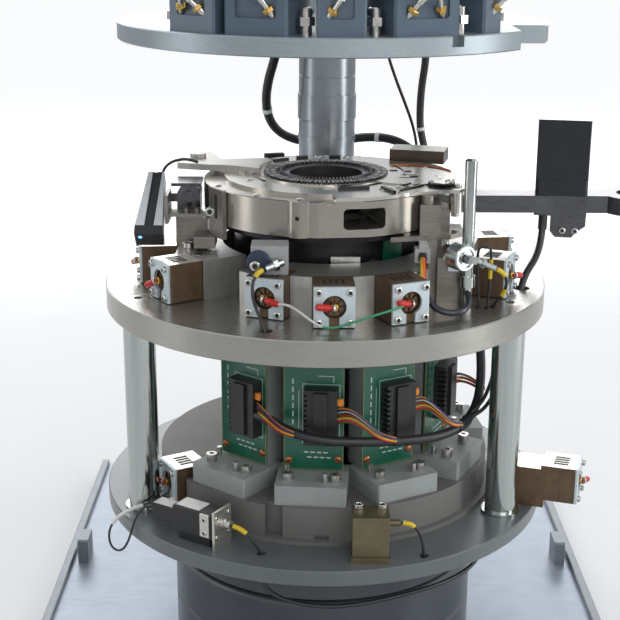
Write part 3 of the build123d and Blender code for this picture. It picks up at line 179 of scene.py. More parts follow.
# %% Cable table
cable_facts = {
    "harness": (4.5, "wire_harness", "stiff", [
        (-64.1, -115.4, 303), (-53.2, -124.2, 303), (-43, -135, 300.5), (-30, -143.5, 297),
        (-14, -148.5, 294), (4, -150, 291.5), (24, -149, 290.5), (44, -145, 289), (62, -139, 287),
        (80, -131, 285), (97, -122, 283.5), (113, -111, 283), (127.5, -98, 284.5),
        (139, -84, 289.5), (147, -71, 299), (151, -60, 313), (152, -52, 331), (151, -46.5, 348),
        (150, -44, 365), (150, -44, 384)]),
    "motor_lead": (3.4, "motor_cable", "medium", [
        (214, 5, 468), (214, 5, 456.9), (212.8, 1.6, 445.8), (210.1, -4.9, 436.5),
        (205.3, -13.8, 428.3), (198.9, -24.7, 423.1), (192.6, -36.3, 417.6), (188.3, -44.4, 409.2),
        (185.8, -49.4, 398.2), (185.5, -51, 386)]),
    "loop_lead": (2.9, "loop_cable", "limp", [
        (87, -104, 453.5), (87, -113.4, 453.5), (86.3, -122, 450), (85.8, -128.8, 443),
        (86.2, -133, 434.2), (88.9, -137, 425.8), (93.8, -142.5, 418), (101.8, -147, 414.2),
        (111.7, -147.4, 412.8), (120.9, -143.2, 413.6), (127.2, -135, 416.9),
        (128.1, -125.3, 420.8), (127.6, -117.9, 422.5)]),
    "under_lead": (2.0, "under_cable", "medium", [
        (-57, -186, 182), (-57, -186, 171), (-52.5, -187.5, 161.5), (-43, -189.5, 155),
        (-29, -192, 151), (-11, -194, 148.5), (9.5, -194, 147.5), (37, -192, 150), (62, -188, 154),
        (84, -181, 156.5), (103, -170, 157), (121, -155, 156.5), (134, -141.5, 157),
        (143, -132, 160.5), (149, -125.5, 167), (151, -123, 175), (151, -123, 182)]),
    "cylinder_sensor_lead": (1.4, "sensor_leads", "medium", [
        (150.14, -128.71, 448.87), (155.9, -127.95, 446.3), (160.4, -126.2, 440.2),
        (161.7, -123.5, 432.3), (159.7, -119.8, 423.3), (154.7, -115.4, 414.8),
        (150.2, -111.9, 405.8), (149, -111, 396.4)]),
    "disc_sensor_lead": (1.4, "sensor_leads", "medium", [
        (-53.88, -153.87, 454.04), (-59.6, -156.2, 452.3), (-63.8, -159.6, 446),
        (-65, -164.3, 437.5), (-63.5, -170.3, 429), (-59.5, -177, 421), (-55, -182.5, 412),
        (-52.5, -185.5, 402), (-52, -186, 391)]),
    "valve_lead": (1.4, "sensor_leads", "medium", [
        (-84.69, -177.06, 220), (-78.7, -180.8, 220), (-72, -183.8, 216.8), (-66, -185.5, 211),
        (-61, -186, 204), (-58, -186, 195.5), (-57.5, -186, 186)]),
    "block_lead": (1.4, "sensor_leads", "medium", [
        (67.2, -190, 230), (74, -190, 230), (80.5, -190, 226), (85.5, -190, 218),
        (88.5, -189.5, 207), (89, -189, 195)]),
    "amplifier_lead": (1.4, "sensor_leads", "medium", [
        (-157, -18.9, 507.8), (-156.5, -12.6, 513.5), (-152.5, -5.5, 518.3), (-145, 2, 521),
        (-134, 10.8, 520.6), (-126, 18, 516.3)]),
    "valve_wire": (1.1, "sensor_leads", "medium", [
        (-157.96, -131.28, 216), (-165, -126.9, 216), (-173, -126, 211.5), (-178.5, -128.5, 203),
        (-182, -130, 192), (-185.5, -129.5, 180.5), (-190.5, -127, 170.5), (-197, -123.5, 166),
        (-203.5, -120, 168.5), (-206.5, -117.5, 177), (-205, -116, 187), (-199.5, -113.5, 195),
        (-191.5, -111, 200.5), (-181.5, -108.5, 204), (-170.5, -106, 207), (-160.2, -101.5, 210.5),
        (-149.9, -93.5, 214)]),
    "head_bundle": (5.0, "head_cables", "medium", [
        (-50, 150, 637.6), (-50, 150, 618), (-54.5, 158, 599), (-61, 170, 578), (-64.5, 184, 554),
        (-61.5, 198, 531), (-50, 211, 514), (-30, 220, 504), (-5, 225, 501), (22, 225.5, 504),
        (48, 221, 508.5), (72, 212, 509), (92, 201, 503), (107, 190, 490), (116, 181, 471),
        (120.5, 173, 449), (120.5, 171, 428), (120.5, 171, 408)]),
    "head_cable": (4.0, "head_cables", "medium", [
        (106.5, 148, 637.6), (106.5, 148, 618), (106.2, 150, 598), (103.5, 153.5, 576),
        (102.4, 155.5, 553), (103, 156, 530), (107, 155, 513), (111.5, 153, 495),
        (113.5, 151, 474), (114.5, 150, 452), (114.5, 150, 408)]),
    "head_wire": (1.6, "head_cables", "medium", [
        (63, 157, 637.6), (63, 157, 621), (67.5, 158, 604.3), (76.2, 160, 580), (86.6, 162, 555),
        (96, 164, 531), (101, 166, 509), (103, 168, 485), (103.5, 169, 460), (103.5, 169, 408)]),
}
print("cables that stand for a solid", len(cable_facts))

# %% [markdown]
# ## Sleeves, markers and ties
# Near its sensor a thin lead wears a yellow sleeve, and bundles are held by cable ties. Each is a
# short piece of a slightly thicker hose on the cable's own line, from one share of its length to
# another, so that it bends as the cable does.

# %% Sleeve table
sleeve_facts = {
    "disc_sensor_lead": ((0.02, 0.16, 2.3, "yellow_sleeve"),),
    "cylinder_sensor_lead": ((0.02, 0.2, 2.2, "yellow_sleeve"), (0.5, 0.62, 1.9, "yellow_sleeve")),
    "valve_lead": ((0.04, 0.34, 2.2, "yellow_sleeve"),),
    "block_lead": ((0.04, 0.34, 2.2, "yellow_sleeve"),),
    "valve_wire": ((0.66, 0.88, 1.8, "white_sleeve"), (0.0, 0.05, 2.2, "black_plastic_case")),
    "harness": ((0.63, 0.68, 5.3, "black_plastic_case"), (0.42, 0.435, 5.0, "black_plastic_case")),
    "head_bundle": ((0.24, 0.252, 5.6, "white_sleeve"), (0.42, 0.432, 5.6, "white_sleeve"),
                    (0.62, 0.632, 5.6, "white_sleeve")),
    "head_cable": ((0.5, 0.52, 4.6, "white_sleeve"),),
    "loop_lead": ((0.0, 0.06, 3.6, "black_plastic_case"),),
    "motor_lead": ((0.0, 0.1, 4.3, "black_plastic_case"),),
    "marked_lead": ((0.76, 0.86, 1.9, "yellow_sleeve"),),
}
print("cables that wear something", len(sleeve_facts))

# %% [markdown]
# ## One line for each cable
# The short sensor leads share one solid, and so do the three cables that come down from the top
# head. The head slides down its column, so those three ride on it as meshes.

cables = {}


def metres(route):
    return [tuple(round(v * MM, 7) for v in point) for point in route]


def nurbs_line(name, route):
    curve = bpy.data.curves.new(name, "CURVE")
    curve.dimensions = "3D"
    curve.resolution_u = 10
    spline = curve.splines.new("NURBS")
    spline.points.add(len(route) - 1)
    for knot, place in zip(spline.points, route):
        knot.co = (*place, 1)
        knot.radius = MM
    spline.order_u = 3
    spline.use_endpoint_u = True
    return put(name, curve)


def points_on(line):
    mesh = bpy.data.meshes.new_from_object(line)
    followed = [v.co.copy() for v in mesh.vertices]
    bpy.data.meshes.remove(mesh)
    return followed


def run_length(followed):
    return sum((b - a).length for a, b in zip(followed, followed[1:]))


def flatten_with_head(piece):
    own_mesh(piece)


def sleeve(name, body, line, start, end, radius, paint):
    first, last = round(start * (len(line) - 1)), round(end * (len(line) - 1))
    piece = Shapes()
    piece.hose(line[first:max(last, first + 2) + 1], radius, 20)
    return piece.done(name, body, "cord_rubber", paint)


def draw_cable(name, radius, node, stiffness, route):
    route = metres(route)
    with_head = node == "head_cables"
    body = "head" if with_head else "frame"
    cable = nurbs_line(name + ("_line" if with_head else ""), route)
    middle = points_on(cable)
    # the knots have a radius of a millimetre, so the bevel counts in millimetres
    cable.data.bevel_depth = radius
    cable.data.bevel_resolution = 5
    cable.data.use_fill_caps = True
    if with_head:
        line = cable
        cable = put(name, bpy.data.meshes.new_from_object(line))
        bpy.data.objects.remove(line)
    worn = []
    for n, facts in enumerate(sleeve_facts.get(name, ()), 1):
        number = "" if name == "marked_lead" else f"_{n}"
        worn.append(sleeve(f"{name}_sleeve{number}", body, middle, *facts))
        if with_head:
            flatten_with_head(worn[-1])
    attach(cable, body)
    if node:
        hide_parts(node)
    if with_head:
        flatten_with_head(cable)
    cables[name] = cable
    print(name, round(run_length(middle) * IN_MM), "mm")


for name, facts in cable_facts.items():
    draw_cable(name, *facts)

# %% [markdown]
# ## Wires from the board plugs
# Each of four board plugs sends a bunch of coloured wires down to the black harness. A striped
# ribbon would look flat from the side, so every wire is its own thin hose. They follow one line
# for the whole bunch: they leave the plug one above the other, and close up where they go in. A
# longer bunch is a wider one.

# %% Plug wires
wire_paints = ("orange_tab", "blue_wire", "white_sleeve", "brown_wire", "red_sleeve",
               "yellow_sleeve", "pink_wire", "red_sleeve", "green_wire")
plug_wire_routes = (
    [(-64.5, -113.8, 308), (-60.7, -120.5, 308.5), (-53, -131, 305.5), (-45, -139.5, 301.5),
     (-37, -145.5, 298.5), (-28.5, -148.5, 297)],
    [(10.2, -130.4, 307), (17, -133.5, 310.5), (26, -137, 310), (36, -141.5, 304.5),
     (45.5, -145.5, 297.5), (55.5, -146.5, 292.5), (65, -142.5, 289.5)],
    [(81.3, -102.4, 307), (88.5, -100.5, 310.5), (97.5, -101, 309), (106.5, -104, 302.5),
     (115, -106.5, 295.5), (122.5, -105, 290.5), (130, -99.5, 288.5)],
    [(124.7, -39.4, 311), (131.2, -36.6, 313.5), (139.5, -37.2, 312.5), (147.5, -42, 309.5),
     (153, -49.5, 307.5), (154.5, -58.5, 309.5)],
)
WIRE_RADIUS, LENGTH_TO_WIDTH, CLOSED_SPREAD = 0.72, 6.2, 1.9
for number, route in enumerate(plug_wire_routes, 1):
    route = metres(route)
    line = nurbs_line(f"plug_line_{number}", route)
    middle = points_on(line)
    bpy.data.objects.remove(line)
    bunch = Shapes()
    width = run_length(middle) / LENGTH_TO_WIDTH
    spread = 0.65 * width / MM + 0.9
    for k in range(len(wire_paints)):
        rank = k / (len(wire_paints) - 1) * 2 - 1
        wire = []
        for i, here in enumerate(middle):
            t = i / (len(middle) - 1)
            out = Vector((here.x, here.y, 0)).normalized() * (0.8 if k % 2 else -0.8)
            sag = math.sin(math.pi * t) * (1.2 if k % 3 == 0 else 0)
            fan = Vector((0, 0, -rank * (spread * (1 - t) ** 0.8 + CLOSED_SPREAD * t) - sag))
            wire.append(here + (out + fan) * MM)
        bunch.hose(wire, WIRE_RADIUS, 6, paint=k)
    piece = bunch.done(f"plug_wires_{number}", "frame", "cord_rubber", *wire_paints)
    print("plug", number, round(run_length(middle) * IN_MM), "mm")

# %% [markdown]
# ## Cords that stand for no solid
# One thin lead runs along the front from one actuator's terminal to another's. It leaves in a
# white sleeve, dips to the plate and climbs again as a green wire. It is one cord, so its colour
# changes by place and not by piece. Two thin cables branch from the harness at its tie and go up
# through the plate. The last one comes out of the plate, bends over behind the right sensor and
# goes back in, with a yellow marker on it.

# %% Small cords
small_facts = {
    "terminal_wire": (1.1, None, "medium", [
        (-43.2, -163.2, 425), (-36.5, -165.5, 426.2), (-26.2, -173.5, 423.5),
        (-15.5, -182.5, 417.5), (-7, -186.8, 412.8), (2, -188.5, 411.2), (12.5, -188.2, 413.2),
        (24.5, -187.5, 417.2), (36.5, -186.8, 421.2), (47.5, -185.5, 424.5), (57, -182.5, 426.5),
        (65.5, -175.5, 427.5)]),
    "branch_1": (1.8, None, "medium", [
        (140.5, -83.5, 294.5), (148, -79.5, 300), (155.5, -73.5, 309.5), (161.2, -67.2, 324),
        (164.3, -62.5, 342.5), (165.5, -60, 363), (165.5, -60, 384.5)]),
    "branch_2": (1.8, None, "medium", [
        (140.5, -86, 291), (149, -83, 294.5), (158, -77.5, 302.5), (165.5, -70.5, 316.5),
        (170, -64.2, 335), (171.8, -61, 358), (171.8, -60.5, 384.5)]),
    "marked_lead": (1.2, None, "medium", [
        (138.5, -114.5, 407.5), (137.5, -115.5, 422), (135.8, -117.5, 441), (135, -118.5, 461.5),
        (136.8, -119, 465.9), (141.2, -119, 467.7), (145.6, -119, 465.9), (147.4, -118.5, 461.5),
        (147.2, -117.8, 441), (146.8, -116.5, 422), (146.5, -116, 407.5)]),
}
for name, facts in small_facts.items():
    draw_cable(name, *facts)

# %% [markdown]
# ## Shader maths as plain arithmetic
# A finish is a small network of nodes. Wiring each Math node by hand hides what it does, so one
# class wraps a socket, and adding or multiplying two wires adds the node. Every operation is made
# by the same function. `turn` gives the angle of a place from its distances along two axes.
# Colours go through Mix, because a Math node would turn them grey.

# %% Wires
def arithmetic(operation, usual=0.0):
    def method(self, other=usual):
        return self.node("ShaderNodeMath", {"operation": operation}, {0: self, 1: other})
    return method


class Wire:
    def __init__(self, tree, socket=None):
        self.tree = tree
        self.socket = socket

    def node(self, kind, settings=None, sockets=None, output=0):
        made = self.tree.nodes.new(kind)
        for key, value in (settings or {}).items():
            setattr(made, key, value)
        for key, value in (sockets or {}).items():
            if isinstance(value, Wire):
                self.tree.links.new(value.socket, made.inputs[key])
            else:
                made.inputs[key].default_value = value
        return Wire(self.tree, made.outputs[output])

    __add__ = __radd__ = arithmetic("ADD")
    __mul__ = __rmul__ = arithmetic("MULTIPLY")
    __sub__, __pow__, __mod__ = arithmetic("SUBTRACT"), arithmetic("POWER"), arithmetic("MODULO")
    root, size, tangent = arithmetic("SQRT"), arithmetic("ABSOLUTE"), arithmetic("TANGENT")
    turn, either = arithmetic("ARCTAN2"), arithmetic("MAXIMUM")
    capped = arithmetic("MINIMUM", 1.0)

    def __rsub__(self, other):
        return self.node("ShaderNodeMath", {"operation": "SUBTRACT"}, {0: other, 1: self})

    def above(self, edge, soft):
        # 0 below the edge and 1 above it, with a short soft step between
        return self.node("ShaderNodeMapRange", {"interpolation_type": "SMOOTHSTEP"},
                         {0: self, 1: edge - soft / 2, 2: edge + soft / 2, 3: 0.0, 4: 1.0})

    def below(self, edge, soft):
        return 1 - self.above(edge, soft)

    def between(self, low, high, soft):
        return self.above(low, soft) * self.below(high, soft)


def hue(colour):
    # a colour as it is seen on a screen, 0 to 255, turned into the linear light of the shader
    def linear(v):
        v /= 255
        return v / 12.92 if v <= 0.04045 else ((v + 0.055) / 1.055) ** 2.4
    return (*(linear(v) for v in colour), 1.0)


def blend(share, first, second):
    # a colour of three numbers is meant as it is seen, one of four is linear already
    ends = [hue(end) if isinstance(end, tuple) and len(end) == 3 else end
            for end in (first, second)]
    return share.node("ShaderNodeMix", {"data_type": "RGBA"}, {0: share, 6: ends[0], 7: ends[1]},
                      2)


print("a half of", round(hue((188, 188, 188))[0], 2))

# %% [markdown]
# ## The start of every finish
# Each finish starts from the place on the machine, in metres, so a grain keeps its scale on every
# piece and can know how far it is from the knitting axis. `grain` is plain noise, `rings` is noise
# that runs round the axis, as turned metal shows, and `strokes` is noise drawn out in one
# direction, as brushed or milled metal shows. `look` sets colour, roughness and bump together.

# %% A finish and its helpers
finishes = {}


class Finish:
    def __init__(self, name, metallic=0.0, **constants):
        self.material = bpy.data.materials.new(name)
        self.material.use_nodes = True
        tree = self.material.node_tree
        self.shader = tree.nodes["Principled BSDF"]
        self.start = Wire(tree)
        self.set("Metallic", metallic)
        for socket, value in constants.items():
            self.set(socket.replace("_", " "), value)
        self.place = self.start.node("ShaderNodeTexCoord", output=3)
        split = [self.start.node("ShaderNodeSeparateXYZ", {}, {0: self.place}, axis)
                 for axis in range(3)]
        self.x, self.y, self.z = split
        self.radius = (self.x * self.x + self.y * self.y).root()
        finishes[name] = self.material

    def set(self, socket, value):
        if isinstance(value, Wire):
            self.start.tree.links.new(value.socket, self.shader.inputs[socket])
        else:
            self.shader.inputs[socket].default_value = value

    def grain(self, scale, detail, place=None):
        return self.start.node("ShaderNodeTexNoise", {}, {"Vector": place or self.place,
                               "Scale": scale, "Detail": detail, "Roughness": 0.6})

    def drawn(self, x, y, z, detail):
        vector = self.start.node("ShaderNodeCombineXYZ", {}, {0: x, 1: y, 2: z})
        return self.grain(1.0, detail, vector)

    def strokes(self, sx, sy, sz):
        return self.drawn(self.x * sx, self.y * sy, self.z * sz, 3.0)

    def rings(self, fine):
        return self.drawn(self.radius * fine, 0.0, self.z * fine, 3.0)

    def look(self, colour, roughness, height=None, strength=0.1, distance=0.0002):
        self.set("Base Color", colour)
        self.set("Roughness", roughness)
        if height is not None:
            self.set("Normal", self.start.node("ShaderNodeBump", {}, {
                "Height": height, "Strength": strength, "Distance": distance}))

    def facing_up(self):
        normal = self.start.node("ShaderNodeNewGeometry", output=1)
        return self.start.node("ShaderNodeSeparateXYZ", {}, {0: normal}, 2).above(0.5, 0.2)


def dress(names, finish):
    for name in names.split():
        for slot in nodes[name].material_slots:
            slot.material = finishes[finish]


print("nodes to dress", len(nodes))

# %% [markdown]
# ## Bare and turned metal
# The two round plates, the needle cylinder and the cam ring are turned on a lathe, which leaves
# fine rings and a soft bright line where the light crosses them. The rings come from noise on the
# distance from the axis and the height. Handling leaves wide, faint smears, which only change how
# rough the surface is.

# %% Turned metal
def turned_metal(name, light, dark, roughness, rings=2600, metallic=0.85, smear=0.12):
    finish = Finish(name, metallic=metallic)
    fine, wide = finish.rings(rings), finish.grain(14, 3)
    finish.look(blend((fine * 0.65 + wide * 0.35 - 0.25) * 1.6, dark, light),
                roughness + (wide - 0.5) * smear + (fine - 0.5) * 0.15, fine, 0.12)


turned_metal("top_plate", (184, 182, 175), (146, 144, 138), 0.28)
turned_metal("cam_ring_steel", (184, 178, 169), (138, 133, 125), 0.22, rings=2000)
turned_metal("cover_steel_top", (220, 216, 208), (172, 168, 161), 0.22, rings=1700)
turned_metal("cylinder_steel", (120, 120, 122), (60, 60, 64), 0.32)
turned_metal("column_steel", (176, 182, 188), (120, 126, 132), 0.3, metallic=0.8)
turned_metal("head_steel", (176, 186, 190), (132, 142, 148), 0.4, metallic=0.7)
print("turned finishes", len(finishes))

# %% [markdown]
# ## Milled and brushed blocks
# Brackets and blocks are sawn and milled, so their marks are straight. Noise drawn out along one
# axis gives them, and a faint cloud keeps the large faces from looking flat.

# %% Milled metal
def milled_metal(name, light, dark, roughness, along=(60, 900, 900), metallic=0.8):
    finish = Finish(name, metallic=metallic)
    marks, cloud = finish.strokes(*along), finish.grain(40, 2)
    finish.look(blend((marks * 0.6 + cloud * 0.4 - 0.25) * 1.7, dark, light),
                roughness + (marks - 0.5) * 0.2, marks)


milled_metal("bed_metal_face", (160, 168, 179), (128, 137, 150), 0.38, (18, 300, 300), 0.5)
milled_metal("trim_metal_face", (140, 146, 152), (104, 110, 116), 0.4, (300, 20, 300), 0.5)
milled_metal("bright_bracket", (164, 160, 152), (116, 112, 105), 0.36)
milled_metal("ring_block_grey", (196, 195, 190), (162, 161, 156), 0.33, (300, 300, 60))
milled_metal("dark_arm", (104, 105, 108), (78, 79, 84), 0.3, (50, 500, 500), 0.7)
milled_metal("olive_bronze", (122, 113, 88), (92, 84, 64), 0.4, (90, 90, 240), 0.6)
milled_metal("polished_steel", (120, 120, 122), (60, 60, 64), 0.24, (300, 300, 30), 0.95)
print("finishes so far", len(finishes))

# %% [markdown]
# ## Paint and castings
# Paint has an orange-peel skin: a fine soft bump that breaks up reflections. A sand casting under
# paint is coarser and has small dark pits, from a Voronoi pattern that is cut to its centres.

# %% Painted metal and castings
def painted(name, light, dark, roughness, peel=900, coat=0.25):
    finish = Finish(name, Coat_Roughness=0.25, Coat_Weight=coat)
    cloud, skin = finish.grain(22, 3), finish.grain(peel, 2)
    finish.look(blend(cloud, dark, light), roughness + (cloud - 0.5) * 0.15, skin, 0.12)


def cast_metal(name, light, dark, roughness=0.6, sand=700):
    finish = Finish(name, metallic=0.25)
    cloud, skin = finish.grain(30, 3), finish.grain(sand, 4)
    cell = finish.start.node("ShaderNodeTexVoronoi", {}, {"Vector": finish.place, "Scale": 420.0})
    pit = cell.below(0.16, 0.08) * finish.grain(90, 1).above(0.52, 0.06)
    colour = blend(cloud * 0.7 + skin * 0.3, dark, light)
    finish.look(blend(pit * 0.6, colour, (70, 72, 72)), roughness, skin - pit * 0.6, 0.3, 0.0004)


painted("pedestal_grey", (70, 75, 80), (55, 60, 65), 0.4)
painted("lower_plate_grey", (102, 109, 111), (80, 87, 89), 0.36)
painted("slate_blue", (86, 104, 120), (66, 82, 98), 0.42)
cast_metal("ring_casting", (126, 125, 122), (98, 97, 95))
cast_metal("holder_casting", (166, 171, 170), (134, 139, 138))
print("finishes so far", len(finishes))

# %% [markdown]
# ## Dark metal, chrome, plastic and rubber
# Blackened steel keeps a brown-black film that wears a little. Chrome is nearly a mirror, so only
# a faint lengthwise haze is added. Moulded plastic has a fine even grain, and rubber is dull.

# %% Dark metal, chrome, plastic, rubber
def blackened(name, light, dark, roughness=0.36, metallic=0.6):
    finish = Finish(name, metallic=metallic)
    wear, fine = finish.grain(160, 4), finish.grain(1400, 1)
    finish.look(blend(wear ** 2.0, dark, light), roughness + (wear - 0.5) * 0.25, fine, 0.08)


def moulded(name, light, dark, roughness=0.45, grain=1800):
    finish = Finish(name)
    fine, cloud = finish.grain(grain, 1), finish.grain(60, 2)
    finish.look(blend(cloud, dark, light), roughness + (fine - 0.5) * 0.2, fine, 0.15)


blackened("black_steel", (58, 58, 60), (24, 24, 26))
blackened("screw_steel", (216, 214, 208), (170, 168, 164), 0.26, 0.95)
blackened("gear_steel_face", (150, 150, 152), (90, 90, 94), 0.34, 0.9)
moulded("black_plastic_case", (44, 46, 50), (26, 28, 32))
moulded("plug_plastic", (36, 36, 38), (20, 20, 22), 0.42)
moulded("motor_lacquer", (34, 38, 46), (20, 23, 30), 0.22)
moulded("clear_shell", (200, 202, 200), (170, 172, 170), 0.3)
moulded("cable_rubber", (40, 41, 45), (22, 23, 26), 0.42)

chrome = Finish("chrome_pillar", metallic=1.0)
haze = chrome.strokes(500, 500, 12)
chrome.look(blend(haze, (164, 171, 169), (194, 199, 196)), 0.1 + haze * 0.12)
print("finishes", len(finishes))

# %% [markdown]
# ## Circuit boards
# Each board is green lacquer over copper, with thin white print round its plug. The six boards
# stand 34 degrees apart, so one pattern serves all: the angle round the axis is folded into one
# board's share, and that angle and the height give a place on the flat face in millimetres.
# The print is built from plain steps, and the tracks under the lacquer from stretched noise.

# %% Board finish
FIRST_BOARD, BOARD_STEP, BOARD_FACE = -39, 34, 122.6
board = Finish("board_lacquer", Coat_Roughness=0.2, Coat_Weight=0.35)
half_step = BOARD_STEP / 2
degrees = board.x.turn(0 - board.y) * (180 / math.pi)
folded = ((degrees + (half_step - FIRST_BOARD)) % BOARD_STEP - half_step) * (math.pi / 180)
across = folded.tangent() * BOARD_FACE
up = board.z * IN_MM


def bar(low_x, high_x, low_z, high_z):
    return across.between(low_x, high_x, 0.3) * up.between(low_z, high_z, 0.3)


def frame_line(low_x, high_x, low_z, high_z, width=0.55):
    inner = bar(low_x + width, high_x - width, low_z + width, high_z - width)
    return bar(low_x, high_x, low_z, high_z) - inner


bars = [(-14.2, -13.6, 292, 330), (4, 18, 344, 344.6), (18, 18.6, 338, 344.6)]
bars += [(-20, -18.8, z, z + 5) for z in range(296, 337, 8)]
bars += [(x, x + 4.2, z, z + 1.2) for z, first in ((268, -9), (263, -6))
         for x in range(first, first + 19, 6)]
print_lines = sum((bar(*place) for place in bars), frame_line(-10.6, 24.4, 277.5, 336.5)).capped()
tracks = board.drawn(across * 0.1, 0.0, up * 0.9, 1).above(0.6, 0.05)
tracks = tracks * bar(-26, 26, 255, 372)
lacquer = blend(board.grain(26, 2), (0, 78, 58), (3, 96, 72))
lacquer = blend(tracks * 0.22, lacquer, (30, 128, 98))
edge = 1 - bar(-27.2, 27.2, 251.8, 374.2)
lacquer = blend(edge * 0.8, lacquer, (120, 130, 84))
board.look(blend(print_lines * 0.75, lacquer, (226, 232, 226)),
           0.3 + print_lines * 0.25 + (board.grain(300, 1) - 0.5) * 0.1)
print("one board in", BOARD_STEP, "degrees")

# %% [markdown]
# ## Finishes that change from place to place
# Some solids are one piece but show two materials: an aluminium amplifier with a black stripe and
# end, a black valve with a steel plate, a dark disc on a grey block, and light teeth on the dark
# sinker ring. A mask worked out from the place on the machine picks between the two. Two cords
# change their colour on the way in the same manner. The up-facing tops of the outer actuators
# get a painted highlight, and the sides of the right-hand rear arms a painted shade.

# %% Two-part finishes
AMPLIFIER, AMPLIFIER_TILT = (-164, -42, 487), 42
VALVE, VALVE_TURN = (-112, -160, 206), -32


def turned_axes(first, second, degrees):
    # two distances along the machine's axes, changed to distances along those of a turned piece
    c, s = math.cos(math.radians(degrees)), math.sin(math.radians(degrees))
    return first * c + second * s, second * c - first * s


amplifier = Finish("amplifier_case")
side, forward, height = [wire * IN_MM - middle for wire, middle in
                         zip((amplifier.x, amplifier.y, amplifier.z), AMPLIFIER)]
along, above_case = turned_axes(forward, height, AMPLIFIER_TILT)
lean = (along + 31) * (1 / 62)
stripe = (side - lean * 4.2).between(-4.8, 4.0, 0.3) * above_case.above(5.5, 0.5)
black_part = stripe.either(along.below(-30.8, 0.3))
pulled = amplifier.drawn(side * 2.2, 0.0, above_case * 2.2, 2)
aluminium = blend(pulled, (176, 180, 184), (222, 225, 228))
amplifier.look(blend(black_part, aluminium, (26, 27, 31)), 0.3 + pulled * 0.14)
amplifier.set("Metallic", (1 - black_part) * 0.75)

valve = Finish("valve_case")
along, across_valve = turned_axes(valve.x * IN_MM - VALVE[0], valve.y * IN_MM - VALVE[1],
                                  VALVE_TURN)
steel_part = along.above(19.9, 0.2).either(across_valve.below(-11.1, 0.2))
cloud = valve.grain(60, 2)
plain = blend(cloud, (16, 17, 19), (28, 30, 33))
valve.look(blend(steel_part, plain, (198, 196, 188)),
           0.42 - steel_part * 0.12 + (valve.grain(900, 1) - 0.5) * 0.15)
valve.set("Metallic", steel_part * 0.85)

disc_grey = Finish("disc_block_grey", metallic=0.3)
beside, over = disc_grey.x * IN_MM + 60.5, disc_grey.z * IN_MM - 456.5
dark_disc = (beside * beside + over * over).root().below(10.8, 0.3)
dark_disc = dark_disc * (disc_grey.y * IN_MM).below(-138.8, 0.2)
cloud, marks = disc_grey.grain(40, 2), disc_grey.strokes(300, 300, 60)
block_grey = blend(cloud * 0.5 + marks * 0.5, (140, 142, 142), (180, 182, 182))
disc_grey.look(blend(dark_disc, block_grey, (46, 56, 76)), 0.42 + marks * 0.15)

SINKER_TEETH = 144
sinker = Finish("sinker_teeth", metallic=0.8)
tooth = (sinker.y.turn(sinker.x) + 4.0) * (SINKER_TEETH / (2 * math.pi)) % 1.0
tooth = tooth.between(0.3, 0.72, 0.12)
band = sinker.radius.between(0.0495, 0.0535, 0.0006)
band = band + sinker.radius.between(0.0552, 0.0588, 0.0006)
worn = sinker.grain(200, 3)
sinker_black = blend(worn, (30, 30, 32), (66, 64, 62))
sinker.look(blend(tooth * band * (0.6 + worn * 0.5), sinker_black, (214, 210, 202)),
            0.28 + worn * 0.12, tooth, 0.4, 0.0006)

lamp = Finish("blue_lamp")
lamp.look(blend(lamp.grain(300, 1), (60, 120, 250), (110, 170, 255)), 0.3)
lamp.set("Emission Color", blend(lamp.grain(500, 1), (0.05, 0.25, 1.0, 1), (0.2, 0.5, 1.0, 1)))
lamp.set("Emission Strength", 2.5)

loop_finish = Finish("loop_wires", Coat_Weight=0.4)
loose = loop_finish.z.above(0.4345, 0.003)
left_side, right_side = loop_finish.x.below(0.0855, 0.0003), loop_finish.x.above(0.0879, 0.0003)
three = blend(right_side, blend(left_side, (232, 120, 30), (228, 190, 50)), (206, 36, 30))
cloud = loop_finish.grain(300, 2)
loop_finish.look(blend(loose, blend(cloud, (24, 26, 34), (44, 48, 62)), three), 0.4)

terminal = Finish("terminal_wire")
cloud = terminal.grain(400, 2)
white_or_green = blend(terminal.x.above(-0.004, 0.001), (232, 226, 224), (36, 146, 96))
terminal.look(blend(cloud * 0.3, white_or_green, (120, 130, 126)), 0.45)

bronze = Finish("actuator_bronze", metallic=0.6)
marks, cloud = bronze.strokes(240, 240, 90), bronze.grain(40, 2)
body = blend((marks * 0.6 + cloud * 0.4 - 0.25) * 1.7, (88, 70, 54), (124, 102, 80))
# painted highlight: the up-facing tops of the outer actuators are blended towards near-white, for
# the light that falls on them
painted_top_highlight = bronze.facing_up() * bronze.x.size().above(0.095, 0.01)
bronze.look(blend(painted_top_highlight * 0.85, body, (224, 220, 212)),
            0.4 - painted_top_highlight * 0.16 + (marks - 0.5) * 0.2, marks)

plate_face = Finish("end_plate_face", metallic=0.35)
marks, cloud = plate_face.strokes(500, 500, 80), plate_face.grain(60, 2)
plate_face.look(blend(marks * 0.5 + cloud * 0.5, (176, 190, 196), (222, 234, 238)),
                0.34 + marks * 0.14)

rear = Finish("rear_arm_steel", metallic=0.7)
marks = rear.strokes(60, 900, 900)
# painted shade: the faces of the right-hand arms that don't face up are blended towards dark brown
painted_shade_side = (1 - rear.facing_up()) * rear.x.above(0.05, 0.01)
plain = blend(marks, (150, 147, 140), (196, 193, 186))
rear.look(blend(painted_shade_side, plain, (92, 80, 70)), 0.3 + marks * 0.16)

cam_steel = Finish("knitting_cam_steel", metallic=0.6)
around = cam_steel.y.turn(cam_steel.x)
upright = cam_steel.drawn(around * 40, 0.0, cam_steel.z * 6, 2).above(0.5, 0.2)
cam_steel.look(blend(upright, (120, 116, 110), (250, 248, 244)), 0.3 + upright * 0.1)

